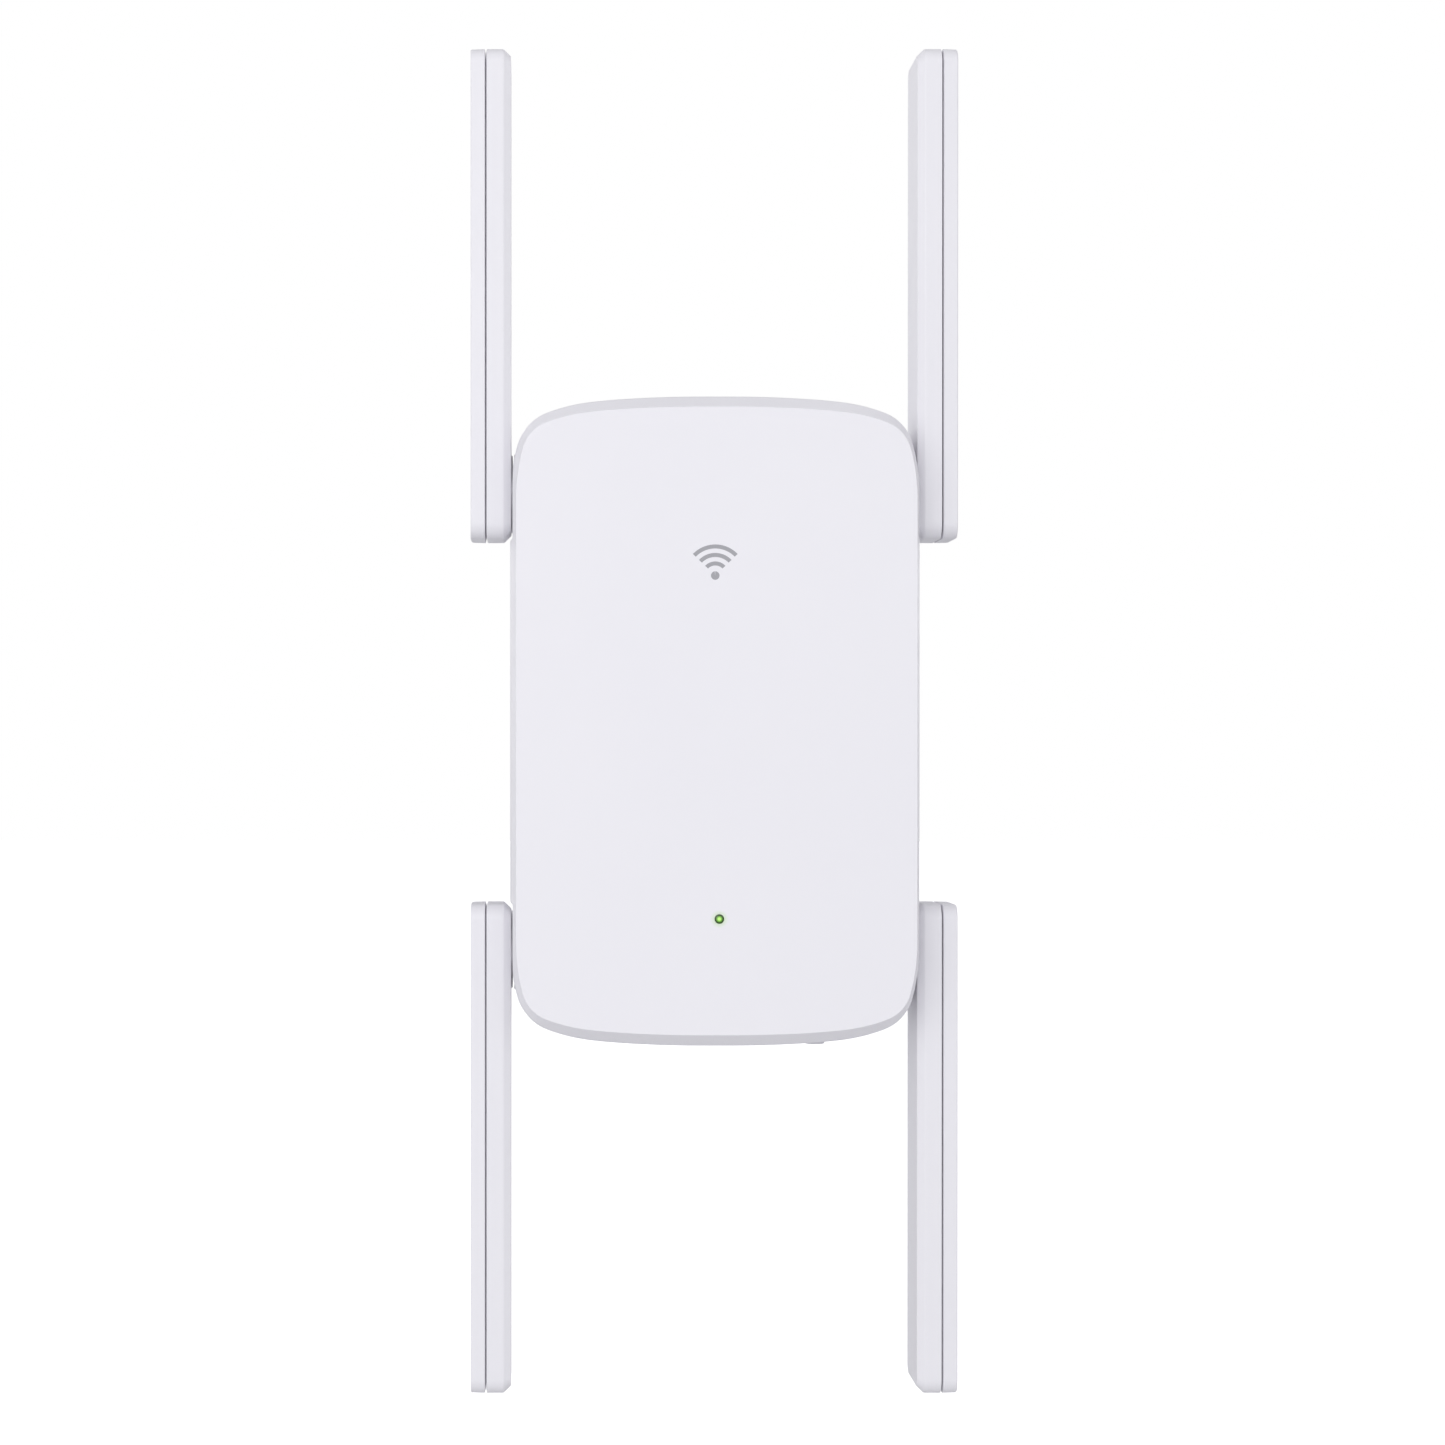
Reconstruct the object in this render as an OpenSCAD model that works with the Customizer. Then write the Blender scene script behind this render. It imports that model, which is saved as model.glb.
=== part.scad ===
// Wall-plug Wi-Fi range extender with four swing-out paddle antennas.
// Origin: midway between the plug pins, on the face of the plug that meets the socket.
// +X right, +Z up, -Y towards the room, +Y into the wall. Millimetres.

/* [Body] */
// Width of the housing
body_w = 78; // [77.8:0.1:82]
// Height of the housing
body_h = 123; // [120:1:130]
// Depth from the rear face to the front face
body_d = 33; // [33:0.5:36]
// Depth of the front cover
cover_d = 8; // [7.5:0.5:9]
// Wall thickness of the mouldings
wall = 2; // [1.8:0.1:2.2]
// Width of the bevel round the front face, at the sides
bevel_side = 1.2; // [0.8:0.1:1.6]
// Width of the bevel round the front face, at the top and bottom
bevel_end = 2.3; // [1.6:0.1:2.6]
// Depth of the bevel
bevel_d = 3.5; // [2.5:0.1:4]

/* [Plug] */
// Diameter of a plug pin
pin_d = 4.8; // [4:0.1:4.8]
// Distance between the pins
pin_pitch = 19; // [18.5:0.1:19.5]
// Length of a pin outside the plug face
pin_len = 19; // [18:0.5:19.5]
// Diameter of the round plug boss
boss_d = 36; // [34:0.5:37]
// Height of the boss between its flats
boss_h = 26; // [24:0.5:28]
// Length of the boss behind the housing
boss_len = 16.5; // [15:0.5:17]

/* [Antennas] */
// Length of an antenna
antenna_len = 93.8; // [85:0.1:94.2]
// Width of an antenna, front to back
antenna_w = 18; // [16:0.5:18]
// Thickness of an antenna
antenna_t = 7.8; // [7.6:0.1:8.4]
// Height of a hinge axis above or below the plug
pivot_z = 44; // [43.5:0.1:44.5]
// Gap between the two shells of an antenna
seam_w = 0.3; // [0.2:0.05:0.4]
// Radius of the hinge spigot
spigot_r = 5; // [4.8:0.1:5.2]
// Radial clearance of the hinge spigot in the housing
hinge_fit = 0.05; // [0.02:0.01:0.09]

/* [Controls] */
// Sideways place of the pairing button
button_x = 19.6; // [18:0.2:20]
// Width of the button
button_w = 3.9; // [3.5:0.1:4.2]
// Depth of the button, front to back
button_d = 6; // [5:0.5:6]
// Sideways place of the status light
led_x = 0.5; // [-2:0.1:2]
// Height of the status light
led_z = -37.3; // [-40:0.1:-35]
// Diameter of the status light
led_d = 1.7; // [1.5:0.1:2]
// Sideways place of the network socket
jack_x = -8; // [-10:0.5:-6]

/* [Hidden] */
$fn = 48;
eps = 0.01;

// Front-to-back stations of the housing
y_rear = -boss_len;
y_front = y_rear - body_d;
y_split = y_front + cover_d;
y_wide = y_front + bevel_d;
draft = 0.8;
cover_taper = 0.4;
rear_round = 2;

// Side view stations of the antennas
recess_x = body_w / 2 - 0.75;
blade_z = pivot_z - antenna_w / 2;
recess_z = blade_z - 0.3;
seat_gap = 0.3;
blade_in = recess_x + 0.6;
blade_out = blade_in + antenna_t;
seam_x = blade_in + 4.8;
pivot_y = y_split + antenna_w / 2 + 0.5;
blade_bevel = 1.4;
blade_edge = 0.8;
shell_wall = 1.4;
seat_r = 7.5;
hinge_wall_x = recess_x - 3.2;
spigot_end = hinge_wall_x - 2.1;
clip_x = spigot_end + 0.55;
clip_t = 0.6;

// The housing outline turns from the middle of its top edge to its straight
// side through four arcs: [radius, angle turned].
edge_arcs = [[230, 5.8], [35, 15.6], [8.8, 52.6], [38, 16]];
arc_steps = [3, 5, 10, 4];

function turned(k) = k == 0 ? 0 : edge_arcs[k - 1][1] + turned(k - 1);
function arc_point(k, part, inset) = let(r = edge_arcs[k][0] - inset, a = turned(k),
    b = a + part * edge_arcs[k][1]) r * [sin(b) - sin(a), cos(b) - cos(a)];
function arc_start(k, inset) = k == 0 ? [0, 0] :
    arc_start(k - 1, inset) + arc_point(k - 1, 1, inset);
function quadrant(hw, hh, inset) = let(last = len(edge_arcs), end = arc_start(last, inset))
    [for (k = [0 : last - 1]) for (i = [0 : arc_steps[k] - 1])
        [hw - end[0], hh] + arc_start(k, inset) + arc_point(k, i / arc_steps[k], inset),
     [hw, hh + end[1]]];
function backwards(p) = [for (i = [len(p) - 1 : -1 : 0]) p[i]];
function outline(side, end) = let(q = quadrant(body_w / 2 - side, body_h / 2 - end,
    (side + end) / 2)) concat(q, backwards([for (p = q) [p[0], -p[1]]]),
    [for (p = q) -p], backwards([for (p = q) [-p[0], p[1]]]));

// Points of a rectangle with rounded corners, centred on the origin
corner_steps = 5;
function round_rect(w, h, r) = [for (c = [0 : 3]) for (i = [0 : corner_steps])
    let(a = 90 * (c + i / corner_steps), sx = (c == 0 || c == 3) ? 1 : -1, sy = c < 2 ? 1 : -1)
    [sx * (w / 2 - r) + r * cos(a), sy * (h / 2 - r) + r * sin(a)]];

// Placing aids: flat outlines extruded along Y or X, and round bars along an axis
module along_y(y0, y1) translate([0, y1, 0]) rotate([90, 0, 0]) linear_extrude(y1 - y0) children();
module along_x(x0, x1) translate([x0, 0, 0]) rotate([90, 0, 90]) linear_extrude(x1 - x0) children();
module plate(y0, y1, side, end) along_y(y0, y1) polygon(outline(side, end));
module bar_y(x, z, r, y0, y1) translate([x, y0, z]) rotate([-90, 0, 0]) cylinder(r = r, h = y1 - y0);
module bar_x(y, z, r, x0, x1) translate([x0, y, z]) rotate([0, 90, 0]) cylinder(r = r, h = x1 - x0);
module box(x, y, z) translate([x[0], y[0], z[0]]) cube([x[1] - x[0], y[1] - y[0], z[1] - z[0]]);
module four_ways(x, z) for (sx = [-1, 1], sz = [-1, 1]) translate([sx * x, 0, sz * z]) children();
module slot_y(x, z, len, w, y0, y1) along_y(y0, y1) translate([x, z]) {
    square([len - w, w], center = true);
    for (s = [-1, 1]) translate([s * (len - w) / 2, 0]) circle(d = w);
}

// ---- Housing -------------------------------------------------------------

post_x = 29;
post_z = 51;
post_r = 3.4;
screw_well_r = 2.6;
screw_pass_r = 1.45;
board_post_x = 28.5;
board_post_z = 39;
board_front = y_front + 9.5;
board_back = board_front + 1.2;
cover_inner = y_front + wall - 0.2;
tongue_x = body_w / 2 - wall - 0.3;
tongue_t = 1.2;
tongue_z = 28;

// Pockets in the side walls, from x outwards, where the antennas lie and swing
module antenna_room(x) for (sx = [-1, 1], sz = [-1, 1]) scale([sx, 1, sz])
    box([x, x + 5], [y_front - 1, y_rear + 1], [recess_z, body_h]);

module front_cover() color("#efeef3") difference() {
    union() {
        difference() {
            hull() {
                plate(y_front, y_front + eps, bevel_side, bevel_end);
                plate(y_front + 0.35, y_front + 0.36, bevel_side - 0.3, bevel_end - 0.4);
                plate(y_wide, y_wide + eps, cover_taper, 0);
                plate(y_split - eps, y_split, 0, 0);
            }
            hull() {
                plate(cover_inner, cover_inner + eps, bevel_side + wall, bevel_end + wall);
                plate(y_wide + 1, y_split + 1, wall, wall);
            }
        }
        // Tongues that centre the cover inside the rim of the rear housing
        for (s = [-1, 1]) scale([s, 1, 1]) {
            box([tongue_x - tongue_t, tongue_x], [y_split - 2.5, y_split + 1.4], [-tongue_z, tongue_z]);
            box([tongue_x - tongue_t, tongue_x + 0.8], [y_split - 2.5, y_split], [-tongue_z, tongue_z]);
        }
        four_ways(post_x, post_z) bar_y(0, 0, post_r - 0.2, cover_inner, y_split);
        four_ways(board_post_x, board_post_z) bar_y(0, 0, 2.6, cover_inner, board_front);
        bar_y(led_x, led_z, 2.8, cover_inner, cover_inner + 2.2);
    }
    antenna_room(body_w / 2 - cover_taper - 0.1);
    four_ways(post_x, post_z) bar_y(0, 0, 1.1, cover_inner + 1, y_split + 1);
    four_ways(board_post_x, board_post_z) bar_y(0, 0, 0.85, cover_inner + 1, board_front + 1);
    bar_y(led_x, led_z, led_d / 2 + 0.05, y_front - 1, y_front + 4);
    bar_y(led_x, led_z, 1.65, cover_inner, y_front + 5);
}

module boss_outline(grow) intersection() {
    circle(d = boss_d + 2 * grow);
    square([boss_d + 2 * grow, boss_h + 2 * grow], center = true);
}

vent_pitch = 5.2;
vent_w = 1.8;
grille_z = 28;
grille_pitch = 4.4;
grille_len = 36;
label_w = 43.4;
label_h = 23.4;
label_z = -34;
label_bed = 0.3;
window_gap = 0.2;

module rear_housing() color("#ecebf0") difference() {
    union() {
        difference() {
            hull() {
                plate(y_split, y_split + eps, 0, 0);
                plate(y_rear - rear_round, y_rear - rear_round + eps, draft, draft);
                plate(y_rear - 0.6, y_rear - 0.6 + eps, draft + 0.6, draft + 0.6);
                plate(y_rear - eps, y_rear, draft + rear_round, draft + rear_round);
            }
            hull() {
                plate(y_split - 1, y_split, wall, wall);
                plate(y_rear - wall - eps, y_rear - wall, wall + draft + 0.6, wall + draft + 0.6);
            }
            antenna_room(recess_x);
        }
        // Round hinge seats, thickened inside the wall
        four_ways(0, pivot_z) for (s = [-1, 1])
            bar_x(pivot_y, 0, seat_r + 0.3, s > 0 ? hinge_wall_x : -recess_x,
                s > 0 ? recess_x : -hinge_wall_x);
        four_ways(post_x, post_z) bar_y(0, 0, post_r, y_split + 0.2, y_rear - 1);
    }
    for (s = [-1, 1], z = [-pivot_z, pivot_z])
        bar_x(pivot_y, z, spigot_r + hinge_fit, s > 0 ? recess_x - 5 : -recess_x - 1,
            s > 0 ? recess_x + 1 : -recess_x + 5);
    four_ways(post_x, post_z) {
        bar_y(0, 0, screw_pass_r, y_split - 1, y_rear + 1);
        bar_y(0, 0, screw_well_r, y_split + 4, y_rear + 1);
    }
    along_y(y_rear - 5, y_rear + 1) boss_outline(0.1);
    // Air slots in the top and in the rear face
    for (i = [-4 : 4]) box([i * vent_pitch - vent_w / 2, i * vent_pitch + vent_w / 2],
        [y_split + 6, y_rear - 5], [body_h / 2 - 7, body_h / 2 + 1]);
    for (i = [0 : 4]) slot_y(0, grille_z + grille_pitch * i, grille_len, vent_w, y_rear - 4, y_rear + 1);
    // Window of the network socket and slot of the button
    box([jack_x - jack_w / 2 - window_gap, jack_x + jack_w / 2 + window_gap],
        [board_back - window_gap, board_back + jack_d + window_gap], [-body_h, -body_h / 2 + 8]);
    translate([button_x, button_y, -body_h / 2 - 3]) linear_extrude(8)
        polygon(round_rect(button_w + 0.6, button_d + 0.6, button_w / 2));
    // Shallow bed of the rating label
    translate([0, 0, label_z]) box([-label_w / 2 - 0.3, label_w / 2 + 0.3],
        [y_rear - label_bed, y_rear + 1], [-label_h / 2 - 0.3, label_h / 2 + 0.3]);
}

module rating_label() color("#dcdcdf") along_y(y_rear - label_bed, y_rear - 0.05)
    translate([0, label_z]) polygon(round_rect(label_w, label_h, 1.5));

module housing_screws() color("#a9a9ac") four_ways(post_x, post_z) difference() {
    union() {
        bar_y(0, 0, 1.08, y_split - 5, y_split + 3.9);
        bar_y(0, 0, 2.3, y_split + 4, y_split + 5.8);
        bar_y(0, 0, 1.3, y_split + 3, y_split + 4.1);
    }
    for (a = [0, 90]) rotate([0, a, 0]) box([-1.3, 1.3], [y_split + 4.9, y_split + 6], [-0.25, 0.25]);
}

// ---- Plug ----------------------------------------------------------------

pin_root = y_rear - wall - 2.6;
pin_neck_r = pin_d / 2 - 0.4;
module plug_insert() color("#e9e8ed") difference() {
    union() {
        along_y(y_rear - wall, -0.6) boss_outline(0);
        along_y(-0.7, 0) boss_outline(-0.6);
        along_y(y_rear - wall - 1.5, y_rear - wall) boss_outline(1.6);
    }
    for (s = [-1, 1]) {
        bar_y(s * pin_pitch / 2, 0, pin_neck_r + 0.02, y_rear - 6, 1);
        // Side grooves for the guide ribs of an earthed socket
        bar_y(s * (boss_d / 2 + 0.6), 0, 2.6, y_rear, 1);
    }
}

// A turned pin: the shoulder above its neck stands on the face of the plug
module plug_pin(x) color("#c9c6bf") translate([x, 0, 0]) rotate([-90, 0, 0]) rotate_extrude() {
    r = pin_d / 2;
    tip = 1.6;
    translate([0, pin_root]) square([pin_neck_r, eps - pin_root]);
    square([r, pin_len - tip]);
    translate([0, pin_len - tip - eps]) square([r - tip, tip + eps]);
    translate([r - tip, pin_len - tip]) intersection() {
        circle(r = tip);
        square(tip);
    }
}
module plug_pin_left() plug_pin(-pin_pitch / 2);
module plug_pin_right() plug_pin(pin_pitch / 2);

// Spring strips that carry the mains from the pins to the power board
module pin_contacts() color("#c9a44e") for (s = [-1, 1]) {
    box([s * pin_pitch / 2 - 2, s * pin_pitch / 2 + 2], [pin_root - 0.5, pin_root], [-2.5, 8]);
    box([s * pin_pitch / 2 - 1, s * pin_pitch / 2 + 1], [power_rear, pin_root - 0.5 + eps], [7.4, 8]);
}

// ---- Main board ----------------------------------------------------------

board_w = 63;
board_top = 46;
board_low = -46;
tab_low = -57.5;
module main_board() color("#1f6b3a") difference() {
    along_y(board_front, board_back) polygon([[-board_w / 2, board_top], [board_w / 2, board_top],
        [board_w / 2, board_low], [24.5, board_low], [24.5, tab_low],
        [-20, tab_low], [-20, board_low], [-board_w / 2, board_low]]);
    four_ways(board_post_x, board_post_z) bar_y(0, 0, 1.15, board_front - 1, board_back + 1);
}
module board_screws() color("#8f9092") four_ways(board_post_x, board_post_z) {
    bar_y(0, 0, 0.83, board_front - 4.5, board_back + 0.1);
    difference() {
        bar_y(0, 0, 1.7, board_back, board_back + 1.2);
        for (a = [0, 90]) rotate([0, a, 0])
            box([-1, 1], [board_back + 0.6, board_back + 2], [-0.2, 0.2]);
    }
}

can_h = 3;
module can(x, z, w, h) difference() {
    along_y(board_front - can_h, board_front) translate([x, z]) polygon(round_rect(w, h, 0.6));
    box([x - w / 2 + 0.3, x + w / 2 - 0.3], [board_front - can_h + 0.3, board_front + 1],
        [z - h / 2 + 0.3, z + h / 2 - 0.3]);
}
module chip(x, z, w, h, t) along_y(board_front - t, board_front) translate([x, z])
    polygon(round_rect(w, h, 0.2));
module shield_can_large() color("#bfc1c4") can(0, 12, 36, 30);
module shield_can_small() color("#bfc1c4") can(0, -16, 30, 20);
module wifi_processor() color("#26272a") chip(-6, 12, 13, 13, 1.2);
module radio_chip() color("#26272a") chip(0, -16, 8, 8, 0.9);
module memory_chip() color("#26272a") chip(-23, -8, 8, 6, 1.5);
module thermal_pad() color("#8aa0b4") along_y(board_front - can_h - 1, board_front - can_h)
    translate([0, 12]) square([24, 22], center = true);
module heat_spreader() color("#b5b7ba") along_y(board_front - can_h - 2, board_front - can_h - 1)
    translate([0, 4]) polygon(round_rect(46, 56, 2));

module status_led() color("#d9f2a0") difference() {
    box([led_x - 0.8, led_x + 0.8], [board_front - 0.7, board_front], [led_z - 0.4, led_z + 0.4]);
    bar_y(led_x, led_z, 0.25, board_front - 1, board_front - 0.5);
}
module light_pipe() color("#c5ef85") union() {
    bar_y(led_x, led_z, led_d / 2, y_front + 0.1, board_front - 1);
    bar_y(led_x, led_z, 1.6, cover_inner + 0.1, cover_inner + 1.5);
}

// ---- Pairing button ------------------------------------------------------

button_y = board_back + 4.3;
button_tip = -62;
flange_z = -57.6;
switch_z = -55.2;
module button_cap() color("#dcdbe1") translate([button_x, button_y, 0]) {
    hull() {
        translate([0, 0, button_tip]) linear_extrude(eps)
            polygon(round_rect(button_w - 0.8, button_d - 0.8, 1.3));
        translate([0, 0, button_tip + 0.4]) linear_extrude(eps)
            polygon(round_rect(button_w, button_d, button_w / 2 - 0.05));
        translate([0, 0, flange_z - eps]) linear_extrude(eps)
            polygon(round_rect(button_w, button_d, button_w / 2 - 0.05));
    }
    translate([0, 0, flange_z - 2 * eps]) linear_extrude(1) polygon(round_rect(6.4, 7.2, 1));
}
module tact_switch() color("#3a3b3e") difference() {
    box([button_x - 3, button_x + 3], [board_back, board_back + 3.5], [switch_z, switch_z + 3.5]);
    box([button_x - 1.2, button_x + 1.2], [board_back + 1.2, board_back + 3],
        [switch_z - 1, switch_z + 1.9]);
}
module switch_plunger() color("#b9b4a8") box([button_x - 0.9, button_x + 0.9],
    [board_back + 1.5, board_back + 2.7], [flange_z + 1.1, switch_z + 0.9]);

// ---- Network socket ------------------------------------------------------

jack_low = -60.3;
jack_w = 16;
jack_d = 13.5;
jack_h = 21;
// Steps of the cavity: half width, from and to behind the board, and depth
jack_cavity = [[5.9, 1.4, 8.3, 14], [3.1, 8.2, 10, 14], [1.7, 9.9, 11.4, 10]];
module network_jack() color("#2b2c2f") difference() {
    box([jack_x - jack_w / 2, jack_x + jack_w / 2], [board_back, board_back + jack_d],
        [jack_low, jack_low + jack_h]);
    for (c = jack_cavity) box([jack_x - c[0], jack_x + c[0]],
        [board_back + c[1], board_back + c[2]], [jack_low - 1, jack_low + c[3]]);
}
contact_pitch = 1.02;
module jack_contacts() color("#d8b25a") for (i = [0 : 7])
    translate([jack_x + (i - 3.5) * contact_pitch, board_back + 1.4, 0]) along_x(-0.22, 0.22)
        polygon([[0, jack_low + 13.9], [0, jack_low + 13.4], [0.2, jack_low + 3.5],
            [0.5, jack_low + 3.5], [1.3, jack_low + 13.9]]);

// ---- Power supply --------------------------------------------------------

power_rear = pin_root - 0.8;
power_front = power_rear - 1.6;
module power_board() color("#b9975a") along_y(power_front, power_rear)
    translate([0, 2]) polygon(round_rect(52, 68, 1.5));
module transformer() color("#3c3a36") {
    box([-8, 8], [power_front - 1, power_front], [2, 18]);
    box([-6.5, 6.5], [power_front - 13, power_front - 1], [3.5, 16.5]);
    difference() {
        box([-8, 8], [power_front - 12, power_front - 2], [6.5, 13.5]);
        box([-7, 7], [power_front - 10.5, power_front - 3.5], [6, 14]);
    }
}
module can_cap(x, z, r, h) bar_y(x, z, r, power_front - h, power_front);
module bulk_capacitors() color("#2f4f7d") for (x = [-19.5, 19.5]) can_cap(x, 14, 4.5, 12.5);
module output_capacitors() color("#3a3f46") for (x = [-18, -9.5]) can_cap(x, -22, 3.5, 11);
module line_choke() color("#6d3f24") translate([0, power_front, 27]) difference() {
    bar_y(0, 0, 5.5, -9, 0);
    bar_y(0, 0, 2, -10, -1.5);
}
module fuse() color("#d8cfb8") box([-21, -13], [power_front - 4, power_front], [25, 28.5]);
module bridge_rectifier() color("#202124") box([12, 20], [power_front - 2.5, power_front], [24, 30.5]);
module insulating_sheet() color("#e9e5c8") along_y(board_back + 0.4, board_back + 0.7)
    translate([0, 3]) square([39, 58], center = true);
module dc_header() color("#222326") {
    box([4, 14.2], [power_front - 2.5, power_front], [-30.5, -28]);
    for (i = [0 : 3]) translate([5.3 + 2.54 * i, 0, -29.25])
        box([-0.32, 0.32], [board_back, power_front - 2.5 + eps], [-0.32, 0.32]);
}

// ---- Antenna leads -------------------------------------------------------

lead_r = 0.6;
lead_sides = 8;
lead_x = 24;
lead_drop = 13.4;
// From the antenna, through the hinge and down to its socket on the board
lead_route = [[seam_x - 1.6, pivot_y, pivot_z], [recess_x, pivot_y, pivot_z], [34, pivot_y, pivot_z],
    [30.5, pivot_y - 0.2, pivot_z - 0.4], [26.6, pivot_y - 1.2, pivot_z - 2.4],
    [24.4, pivot_y - 2.8, pivot_z - 6], [lead_x, pivot_y - 5, pivot_z - 9],
    [lead_x, board_back + 0.7, pivot_z - lead_drop + 1.5]];
function spline(p, t) = let(n = len(p), k = min(floor(t), n - 2), u = t - k,
    a = p[max(k - 1, 0)], b = p[k], c = p[k + 1], d = p[min(k + 2, n - 1)])
    0.5 * (2 * b + (c - a) * u + (2 * a - 5 * b + 4 * c - d) * u * u
        + (3 * b - 3 * c + d - a) * u * u * u);
function unit(v) = v / norm(v);
module tube(p, r, steps) {
    path = [for (i = [0 : steps * (len(p) - 1)]) spline(p, i / steps)];
    last = len(path) - 1;
    rings = [for (i = [0 : last]) let(t = unit(path[min(i + 1, last)] - path[max(i - 1, 0)]),
        u = unit(cross(t, [0, 1, 0.02])), v = cross(t, u))
        for (k = [0 : lead_sides - 1]) let(a = 360 * k / lead_sides)
            path[i] + r * (cos(a) * u + sin(a) * v)];
    polyhedron(rings, concat([[for (k = [0 : lead_sides - 1]) k]],
        [for (i = [0 : last - 1]) for (k = [0 : lead_sides - 1])
            let(a = i * lead_sides, m = (k + 1) % lead_sides)
            [a + k, a + lead_sides + k, a + lead_sides + m, a + m]],
        [[for (k = [lead_sides - 1 : -1 : 0]) last * lead_sides + k]]));
}
module coax_lead() color("#3f4146") tube(lead_route, lead_r, 4);
module coax_sockets() color("#c8a250") four_ways(lead_x, pivot_z - lead_drop)
    bar_y(0, 0, 1.4, board_back, board_back + 1.3);

// ---- Antennas: each is described at the upper right and mirrored ----------

// Slab with the outline of the paddle, set in along its long edges and at its ends
module blade_slab(x0, x1, edge, end) translate([0, pivot_y, blade_z + antenna_len / 2]) along_x(x0, x1)
    polygon(round_rect(antenna_w - 2 * edge, antenna_len - 2 * end, 3 - end * 0.8));
module blade(x, edge, end) blade_slab(x, x + eps, edge, end);

module inner_shell() color("#efeef3") difference() {
    union() {
        hull() {
            blade(blade_in, blade_edge, blade_bevel);
            blade(blade_in + blade_bevel, 0, 0);
            blade(seam_x - seam_w / 2 - eps, 0, 0);
        }
        bar_x(pivot_y, pivot_z, seat_r, recess_x + seat_gap, blade_in + 1);
        bar_x(pivot_y, pivot_z, spigot_r, spigot_end, blade_in + 1);
    }
    hull() {
        blade(blade_in + shell_wall, shell_wall + 1, shell_wall + 1);
        blade(seam_x, shell_wall, shell_wall);
    }
    bar_x(pivot_y, pivot_z, 1.8, spigot_end - 1, seam_x);
    // Groove of the retaining clip
    difference() {
        bar_x(pivot_y, pivot_z, spigot_r + 1, clip_x - 0.05, clip_x + clip_t + 0.05);
        bar_x(pivot_y, pivot_z, spigot_r - 0.7, spigot_end, spigot_end + 2);
    }
}
module outer_shell() color("#ecebf0") difference() {
    union() {
        hull() {
            blade(seam_x + seam_w / 2, 0, 0);
            blade(blade_out - 0.3, 0, 0);
            blade(blade_out - eps, 0.3, 0.3);
        }
        // Lip that drops inside the rim of the inner shell
        blade_slab(seam_x - 0.8, seam_x + 1, shell_wall + 0.35, shell_wall + 0.35);
    }
    blade_slab(seam_x - 2, blade_out - shell_wall, shell_wall + 1, shell_wall + 1);
}
element_x = seam_x - 1.3;
element_w = 12;
feed_w = 10;
feed_top = 62;
element_top = blade_z + antenna_len - 4.2;
element_half = [[feed_w / 2, pivot_z - feed_w / 2], [feed_w / 2, feed_top],
    [element_w / 2, feed_top + 2], [element_w / 2, element_top]];
module element() color("#20603a") translate([0, pivot_y, 0]) along_x(element_x, element_x + 0.8)
    polygon(concat(element_half, backwards([for (p = element_half) [-p[0], p[1]]])));
module ring(x0, x1, r_in, r_out) difference() {
    bar_x(pivot_y, pivot_z, r_out, x0, x1);
    bar_x(pivot_y, pivot_z, r_in, x0 - 1, x1 + 1);
}
module washer() color("#d9d4c6") ring(hinge_wall_x - 0.8, hinge_wall_x - 0.3, spigot_r + 0.1, 6.8);
module clip() color("#97999c") difference() {
    ring(clip_x, clip_x + clip_t, spigot_r - 0.65, 6.2);
    box([spigot_end, spigot_end + 2], [pivot_y - 2.2, pivot_y + 2.2], [pivot_z - 8, pivot_z]);
}

// Mirrors an upper-right piece into one of the four places
module at_left() mirror([1, 0, 0]) children();
module lower() mirror([0, 0, 1]) children();

front_cover();
rear_housing();
plug_insert();
plug_pin_left();
plug_pin_right();
pin_contacts();
rating_label();
housing_screws();
main_board();
board_screws();
wifi_processor();
radio_chip();
memory_chip();
shield_can_large();
shield_can_small();
thermal_pad();
heat_spreader();
light_pipe();
status_led();
tact_switch();
button_cap();
switch_plunger();
network_jack();
jack_contacts();
coax_sockets();
power_board();
transformer();
bulk_capacitors();
output_capacitors();
line_choke();
fuse();
bridge_rectifier();
insulating_sheet();
dc_header();
at_left() coax_lead();  // coax_upper_left
coax_lead();  // coax_upper_right
at_left() lower() coax_lead();  // coax_lower_left
lower() coax_lead();  // coax_lower_right
at_left() inner_shell();  // inner_shell_upper_left
inner_shell();  // inner_shell_upper_right
at_left() lower() inner_shell();  // inner_shell_lower_left
lower() inner_shell();  // inner_shell_lower_right
at_left() outer_shell();  // outer_shell_upper_left
outer_shell();  // outer_shell_upper_right
at_left() lower() outer_shell();  // outer_shell_lower_left
lower() outer_shell();  // outer_shell_lower_right
at_left() element();  // element_upper_left
element();  // element_upper_right
at_left() lower() element();  // element_lower_left
lower() element();  // element_lower_right
at_left() washer();  // washer_upper_left
washer();  // washer_upper_right
at_left() lower() washer();  // washer_lower_left
lower() washer();  // washer_lower_right
at_left() clip();  // clip_upper_left
clip();  // clip_upper_right
at_left() lower() clip();  // clip_lower_left
lower() clip();  // clip_lower_right
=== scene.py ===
"""Looks of a wall-plug wireless range extender with four swing-out paddle antennas.

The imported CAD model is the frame. The visible mouldings and metal parts are made here in
metres, in the same frame: +X right, +Z up, -Y towards the room, +Y into the wall.
"""
import math

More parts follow.
